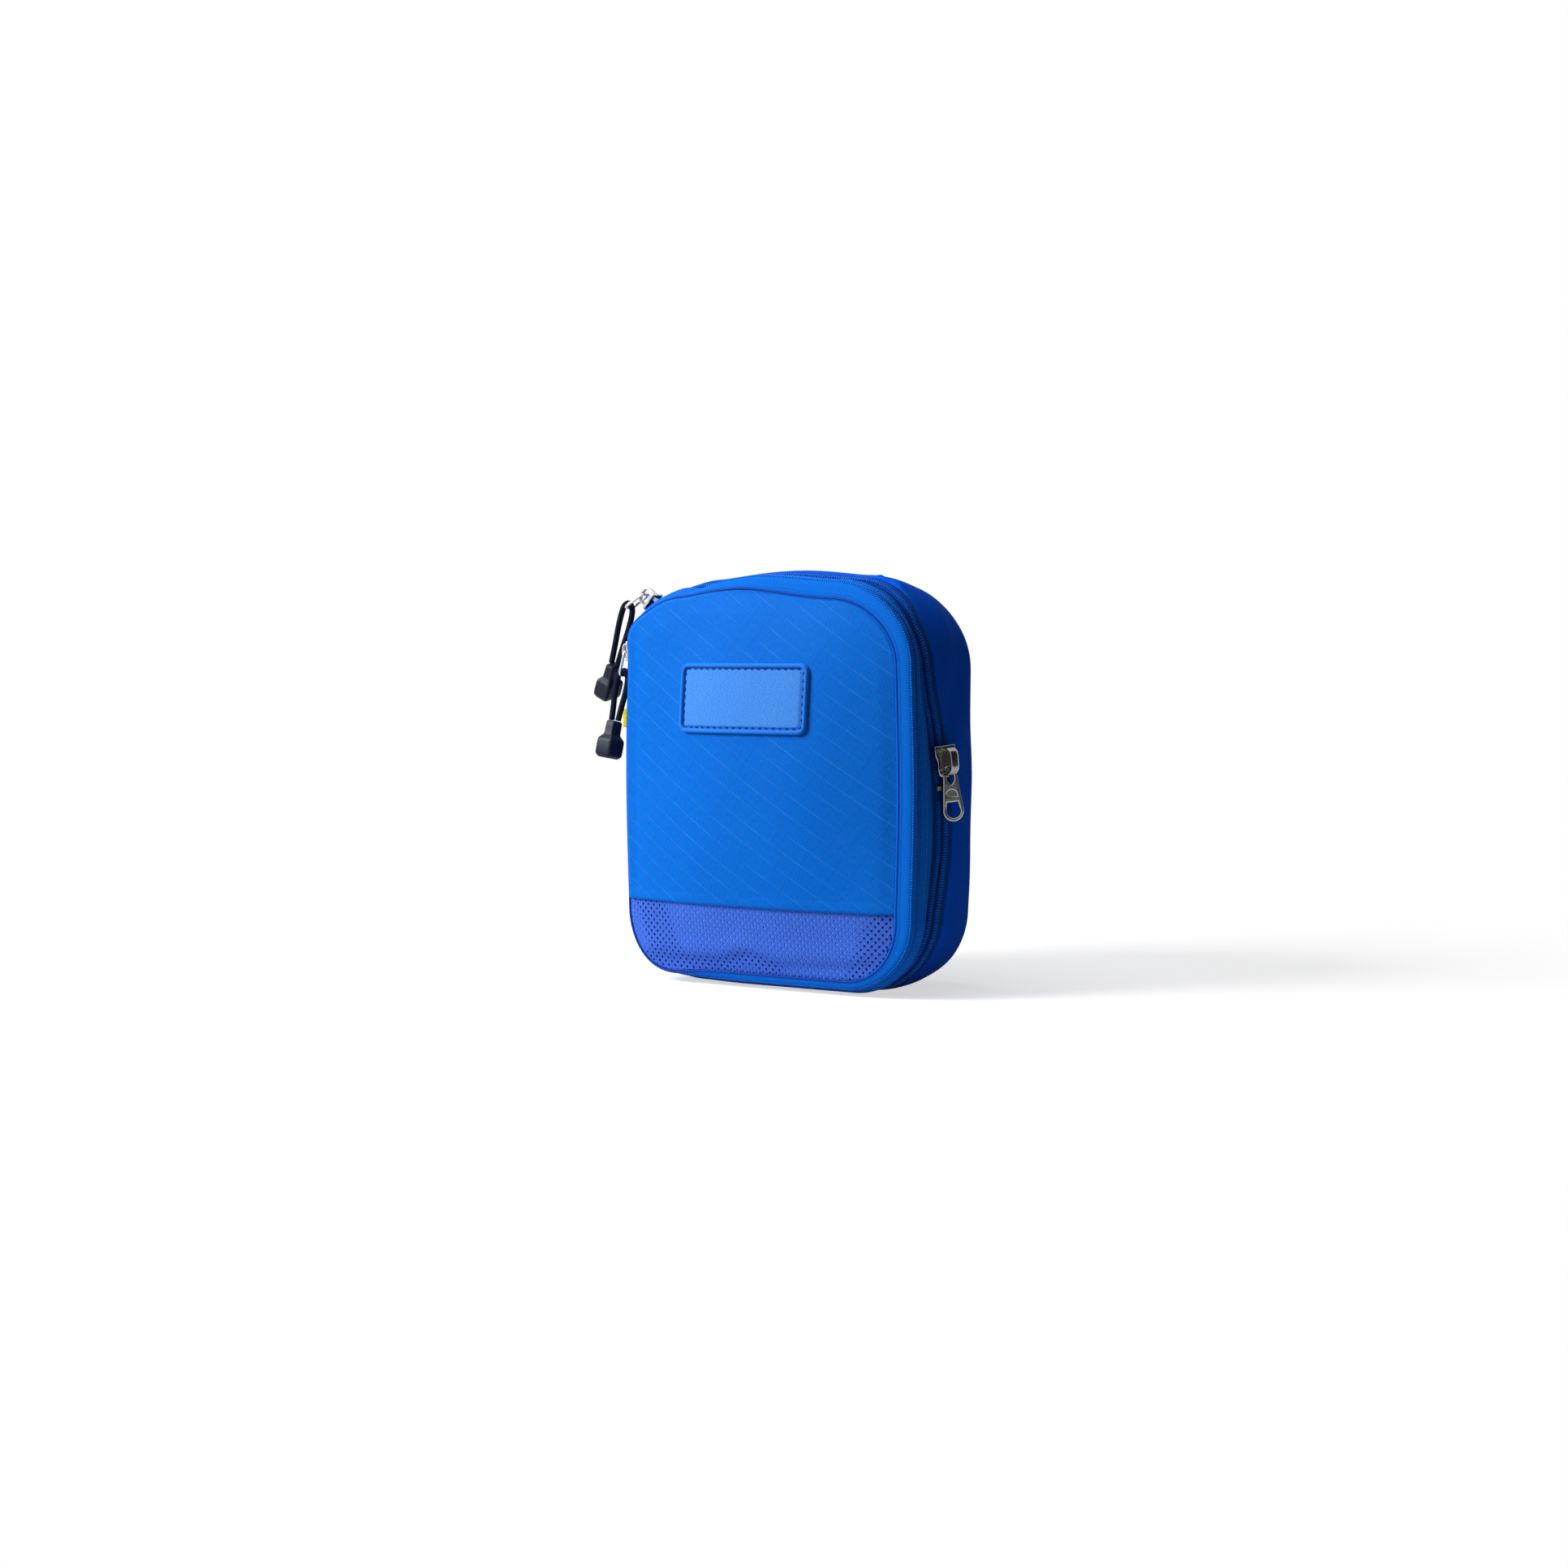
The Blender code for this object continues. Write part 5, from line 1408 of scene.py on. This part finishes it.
def build_pull(prefix, pivot, bail_lean, drop, grip_lean, grip_side, nickel, cord_finish, rubber):
    body = prefix + "_pull"
    pivot = np.array(pivot)
    bail_down = hanging(bail_lean)
    plan = bail_plan()
    route = pivot + plan[:, 0:1] * np.array((0.0, 1.0, 0.0)) + plan[:, 1:2] * bail_down
    bail = sweep(prefix + "_bail_wire", smooth_loop(route, 4),
                 lambda share, length: circle(BAIL_WIRE / 2, 16),
                 nickel, closed=True)
    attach(bail, body)
    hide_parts(prefix + "_pull_bail")

    far = pivot + bail_down * (BAIL_LENGTH - BAIL_WIRE)
    down = unit(hanging(grip_lean) * drop + np.array((0.0, grip_side, 0.0)))
    across = unit(np.cross(down, (0.0, 1.0, 0.0)))
    ride = BAIL_WIRE / 2 + CORD_DIAMETER / 2 + GAP
    half = [
        (drop - GAP, CORD_ENDS), (drop * 0.70, CORD_ENDS * 1.25),
        (drop * 0.30, CORD_LOOP), (ride * 0.20, CORD_LOOP * 0.86),
    ]
    route = [far + down * v + across * u for v, u in half]
    route.append(far - down * ride)
    route += [far + down * v - across * u for v, u in reversed(half)]
    line = even_line(catmull(route, 12), CORD_STEP)
    cord = sweep(prefix + "_cord", line, lambda share, length: braid(length), cord_finish)
    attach(cord, body)
    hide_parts(prefix + "_pull_cord")
    grip = build_grip(prefix + "_grip", far + down * drop, across, down, rubber)
    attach(grip, body)
    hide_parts(prefix + "_pull_grip")


def even_line(points, step):
    """The same line with points an even step apart."""
    points = np.asarray(points, float)
    passed = np.concatenate([[0.0], np.cumsum(np.linalg.norm(np.diff(points, axis=0), axis=1))])
    at = np.linspace(0, passed[-1], int(passed[-1] / step) + 1)
    return np.stack([np.interp(at, passed, points[:, k]) for k in range(3)], axis=1)


def placed(local, along, out, place):
    """Points from a slider's own frame (x along the zip, y across, z out) to the shared frame."""
    along = unit(along)
    out = unit(out - along * np.dot(out, along))
    across = np.cross(out, along)
    local = np.asarray(local, float)
    return place + local[..., 0:1] * along + local[..., 1:2] * across + local[..., 2:3] * out


def plate_plan(length, mouth, tail):
    """Heart-like plan of a slider plate: two shoulders at the mouth, narrow and round at the tail."""
    half = length / 2
    side = [
        (-half, 0.18 * tail), (-0.90 * half, 0.40 * tail), (-0.55 * half, 0.50 * tail), (0.0, 0.52 * tail),
        (0.30 * half, 0.47 * mouth), (0.72 * half, 0.50 * mouth),
        (0.97 * half, 0.49 * mouth), (half, 0.42 * mouth),
    ]
    plan = side + [(half, 0.0)] + [(x, -y) for x, y in side[::-1]]
    return smooth_loop(plan, 5)


def plate_rows(plan, low, high):
    """Rows over a plate with softened edges, from the middle of one face to the middle of the other."""
    edge = min(0.0003, (high - low) / 3)
    spans = [(0.04, low), (0.7, low), (0.95, low), (0.99, low + edge * 0.3),
             (1.0, low + edge), (1.0, high - edge),
             (0.99, high - edge * 0.3), (0.95, high), (0.7, high), (0.04, high)]
    return np.array([np.column_stack([plan * share, np.full(len(plan), z)]) for share, z in spans])


def build_slider(name, place, along, out, size, metal, body, node):
    """Two plates, a post between them and an arched crown, in one piece of metal."""
    place, along, out = np.array(place), np.array(along), np.array(out)
    plan = plate_plan(size["length"], size["mouth"], size["tail"])
    over, under, wall = size["over"], size["under"], size["wall"]
    top = over + wall
    post = rounded_loop(0.0030, 0.0010, 0.0004, 24) + np.array((size["length"] * 0.22, 0.0))
    narrow = plan * np.array((1.0, size["under_share"]))
    blocks = [plate_rows(plan, over, top), plate_rows(narrow, under - 0.6 * wall, under)]
    ends = (under - wall / 2, over + wall / 2)
    blocks.append(np.array([np.column_stack([post, np.full(len(post), z)]) for z in ends]))
    made = []
    for i, rows in enumerate(blocks):
        made.append(grid_object(f"{name}_{i}", placed(rows, along, out, place), metal))

    reach, rise = size["crown_length"] / 2, size["crown_height"]
    line = catmull([
        np.array(p) for p in (
            (reach, 0.0, top - wall / 2), (reach, 0.0, top + 0.45 * rise),
            (0.74 * reach, 0.0, top + 0.90 * rise), (0.0, 0.0, top + rise),
            (-0.66 * reach, 0.0, top + 0.94 * rise), (-0.98 * reach, 0.0, top + 0.50 * rise),
            (-reach, 0.0, top - wall / 2),
        )
    ], 6)
    wide, thick = size["crown_width"], size["crown_wall"]

    def crown(share, length):
        flare = 1.0 + 0.22 * abs(2 * share - 1) ** 3
        plan = rounded_loop(1.0, 1.0, 0.38, 28)
        return np.stack([plan[:, 0] * wide * flare, plan[:, 1] * thick], axis=1)

    line = placed(np.array(line), along, out, place)
    made.append(crown_sweep(f"{name}_crown", line, crown, metal, np.cross(unit(out), unit(along))))
    whole = join(name, made)
    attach(whole, body)
    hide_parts(node)


def crown_sweep(name, points, section, material, side):
    """A bar along a bent line that keeps its width in one direction."""
    ahead = np.gradient(points, axis=0)
    ahead /= np.linalg.norm(ahead, axis=1)[:, None]
    count = len(points)
    rows = []
    for i, (place, forward) in enumerate(zip(points, ahead)):
        up = unit(np.cross(forward, side))
        shape = section(i / (count - 1), 0.0)
        rows.append(place + shape[:, 0:1] * side + shape[:, 1:2] * up)
    return grid_object(name, np.array(rows), material)


def join(name, objects):
    """One object from several of the same finish."""
    bm = bmesh.new()
    for made in objects:
        bm.from_mesh(made.data)
    bmesh.ops.recalc_face_normals(bm, faces=bm.faces)
    mesh = bpy.data.meshes.new(name)
    bm.to_mesh(mesh)
    bm.free()
    finish = objects[0].data.materials[0]
    for made in objects:
        bpy.data.objects.remove(made)
    mesh.shade_smooth()
    return add_object(name, mesh, finish)


def plate_with_holes(name, outlines, thickness, edge, material):
    """A flat plate with rounded edges; the first outline is its rim and the others are holes."""
    curve = bpy.data.curves.new(name, "CURVE")
    curve.dimensions = "2D"
    curve.fill_mode = "BOTH"
    curve.extrude = thickness / 2 - edge
    curve.bevel_depth = edge
    curve.bevel_resolution = 3
    for outline_points in outlines:
        spline = curve.splines.new("POLY")
        spline.points.add(len(outline_points) - 1)
        for target, (x, y) in zip(spline.points, outline_points):
            target.co = (x, y, 0.0, 1.0)
        spline.use_cyclic_u = True
    made = bpy.data.objects.new(name, curve)
    bpy.context.scene.collection.objects.link(made)
    bpy.context.view_layer.update()
    mesh = bpy.data.meshes.new_from_object(made.evaluated_get(bpy.context.evaluated_depsgraph_get()))
    bpy.data.objects.remove(made)
    bpy.data.curves.remove(curve)
    solid = add_object(name, mesh, material)
    mesh.shade_smooth()
    return solid


def build_tab(place, along, out, metal):
    """The metal pull: a heart-shaped eye, a sunk arc-topped panel and a D-shaped window in its round end."""
    place, along, out = np.array(place), np.array(along), np.array(out)
    edge = TAB_EDGE
    wide = TAB_WIDTH / 2 - edge
    neck = TAB_NECK / 2 - edge
    gap = TAB_WIDTH / 2 - TAB_RIM + edge
    top = edge - TAB_BAR / 2
    round_x = TAB_LENGTH - TAB_WIDTH / 2 - TAB_BAR / 2
    rim = [(top, -0.50 * neck), (top + 0.0004, -0.80 * neck), (top + 0.0016, -neck), (0.0170, -0.88 * wide)]
    rim = np.array(rim + arc((round_x, 0), wide, -90, 90, 20).tolist() + [(x, -y) for x, y in rim[::-1]])
    eye = [(TAB_BAR / 2, -0.0016), (0.0030, -0.0024), (0.0062, -0.0026), (0.0082, -0.0018), (0.0098, 0.0)]
    eye = smooth_loop(eye + [(x, -y) for x, y in eye[-2::-1]], 4)
    panel = arc((0.0142, 0), 0.0032, 90, 270, 12).tolist() + [(0.0158, -0.0034), (0.0158, 0.0034)]
    window = [(0.0172, -0.78 * gap), (0.0172, 0.78 * gap)] + arc((round_x, 0), gap, 90, -90, 14).tolist()
    ring = plate_with_holes("tab_ring", [rim, eye, panel, window], TAB_THICKNESS, edge, metal)
    inset = plate_with_holes("tab_panel", [panel], TAB_THICKNESS * 0.55, 0.0001, metal)
    for made in (ring, inset):
        local = np.array([v.co for v in made.data.vertices])
        spots = placed(local + (TAB_HANG, 0.0, 0.0), -along, out, place)
        made.data.vertices.foreach_set("co", spots.ravel())
    whole = join("pull_tab", [ring, inset])
    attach(whole, "compression_pull")
    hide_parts("compression_pull_tab")


def build_ribbon(ribbon):
    """A short loop of ribbon caught in the left side seam."""
    x, y = RIBBON_X, FRONT_SEAM_Y + RIBBON_DEPTH
    fold = [(0.0016, 0.0007), (0.0, 0.0007), (-0.0050, 0.0010),
            (-0.0088, 0.0008), (-0.0096, 0.0), (-0.0088, -0.0008),
            (-0.0050, -0.0010), (0.0, -0.0007), (0.0016, -0.0007)]
    line = np.array(catmull([np.array((x + a, y + b)) for a, b in fold], 5))
    rows = []
    for z in np.linspace(RIBBON_Z - RIBBON_HEIGHT / 2, RIBBON_Z + RIBBON_HEIGHT / 2, 12):
        rows.append(np.column_stack([line, np.full(len(line), z)]))
    made = grid_object("ribbon", np.array(rows), ribbon, ring=False)
    thicken(made, 0.0004)
    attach(made, "front_frame")
    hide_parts("side_ribbon_tab")


def build_stop(metal):
    """The clamped stop where the ends of the compression zipper meet, drawn as its three ridges without the
    folded plate under them.
    """
    low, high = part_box("compression_zip_stop")
    middle = np.array((low + high) / 2)
    places = middle + np.array([(0.0, 0.0, 0.0015 + z) for z in (-0.0007, 0.0, 0.0007)])
    out = np.tile((0.89, -0.45, 0.0), (3, 1))
    across = np.tile((0.45, 0.89, 0.0), (3, 1))
    up = np.tile((0.0, 0.0, 1.0), (3, 1))
    made = scatter("chain_stop", bead(0.0024, 0.0008, 0.0014, 6, 10), (places, across, up, out), metal)
    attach(made, "front_frame")
    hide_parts("compression_zip_stop")


FRONT_SLIDER = dict(length=0.0110, mouth=0.0094, tail=0.0072, wall=0.0013, over=0.0013,
                    under=-0.0048, under_share=1.0,
                    crown_length=0.0086, crown_height=0.0042, crown_width=0.0032, crown_wall=0.0013)
METAL_SLIDER = dict(length=0.0160, mouth=0.0164, tail=0.0120, wall=0.0015, over=0.0036,
                    under=-0.0014, under_share=0.45,
                    crown_length=0.0128, crown_height=0.0056, crown_width=0.0060, crown_wall=0.0020)


def build_sliders(nickel, gunmetal):
    corner = (-math.sqrt(0.5), 0.0, math.sqrt(0.5))
    sunk = np.array(UPPER_SLIDER) - np.array(corner) * SLIDER_SINK
    high = dict(FRONT_SLIDER, under=-0.0078, crown_height=FRONT_SLIDER["crown_height"] + SLIDER_SINK - 0.0006)
    build_slider("upper_slider_body", sunk, (-corner[0], 0.0, corner[2]), corner, high, nickel,
                 "upper_slider", "upper_slider")
    build_slider("lower_slider_body", LOWER_SLIDER, LOWER_ALONG, (-LOWER_ALONG[2], 0.0, LOWER_ALONG[0]),
                 FRONT_SLIDER, nickel, "lower_slider", "lower_slider")
    turn = math.radians(METAL_TURN)
    out = (math.cos(turn), -math.sin(turn), 0.0)
    build_slider("metal_slider", METAL_PLACE, METAL_ALONG, out, METAL_SLIDER, gunmetal,
                 "compression_slider", "compression_slider")
    turn, lean = math.radians(TAB_TURN), math.radians(TAB_LEAN)
    out = np.array((math.cos(turn), -math.sin(turn), 0.0))
    aside = np.array((math.sin(turn), math.cos(turn), 0.0))
    build_tab(TAB_PIVOT, np.array((0.0, 0.0, math.cos(lean))) - aside * math.sin(lean), out, gunmetal)


def build_pulls(nickel, cord_finish, rubber):
    build_pull("upper", UPPER_PIVOT, 58.0, 0.0350, 26.0, 0.0078, nickel, cord_finish, rubber)
    build_pull("lower", LOWER_PIVOT, 14.0, 0.0250, 7.0, -0.0040, nickel, cord_finish, rubber)


def main():
    build_studio()
    nickel = make_metal("nickel", (0.62, 0.61, 0.59), 0.20)
    gunmetal = make_metal("gunmetal", (0.30, 0.295, 0.29), 0.20)
    cord = make_plain_weave("cord_sheath", (0.006, 0.009, 0.022), (0.020, 0.026, 0.050))
    rubber = make_rubber()
    build_pulls(nickel, cord, rubber)
    build_sliders(nickel, gunmetal)
    ripstop = make_ripstop()
    tape = make_tape("zip_tape", (0.001, 0.098, 0.530), (0.004, 0.208, 0.880))
    # A darker copy of the zip tape: painted shade for the compression zipper's tapes, which lie in the
    # shadowed valley round the chain.
    painted_shade_tape = make_tape("painted_shade_tape", (0.001, 0.034, 0.220), (0.002, 0.082, 0.430))
    gusset = make_plain_weave("gusset_weave", (0.0, 0.092, 0.700), (0.001, 0.116, 0.820))
    mesh = make_plain_weave("mesh_knit", (0.042, 0.125, 0.620), (0.075, 0.175, 0.740))
    backing = make_plain_weave("backing_weave", (0.070, 0.260, 0.820), (0.100, 0.320, 0.900))
    thread = make_thread("thread", (0.003, 0.140, 0.680), (0.010, 0.240, 0.900))
    # Dark thread for the patch's stitches; the same material paints the shade along the front panel's seam.
    dark_thread_and_seam_shade = make_thread("dark_thread_and_seam_shade", (0.001, 0.030, 0.260), (0.002, 0.050, 0.360))
    coil = make_thread("coil_nylon", (0.002, 0.110, 0.600), (0.006, 0.200, 0.850), 0.10)
    embroidery = make_embroidery()
    merrow = make_plain_weave("merrow", (0.014, 0.168, 0.690), (0.036, 0.245, 0.820))
    ribbon = make_plain_weave("ribbon_weave", (0.60, 0.52, 0.01), (0.80, 0.72, 0.02))
    build_front_cloth(ripstop)
    build_hem(ripstop)
    build_mesh_cloth(mesh)
    build_mesh_backing(backing)
    build_patch(embroidery, merrow, dark_thread_and_seam_shade)
    build_front_tapes(tape)
    build_painted_seam_shade(dark_thread_and_seam_shade)
    build_front_stitches(thread)
    build_inner_coils(coil)
    build_compression_tapes(painted_shade_tape)
    build_chain(coil)
    build_stop(make_metal("brass", (0.42, 0.33, 0.16), 0.35))
    build_gusset(gusset)
    build_back_cloth(gusset)
    build_back_seam(gusset, thread)
    build_bindings(gusset)
    build_pleat(gusset)
    build_ribbon(ribbon)


main()
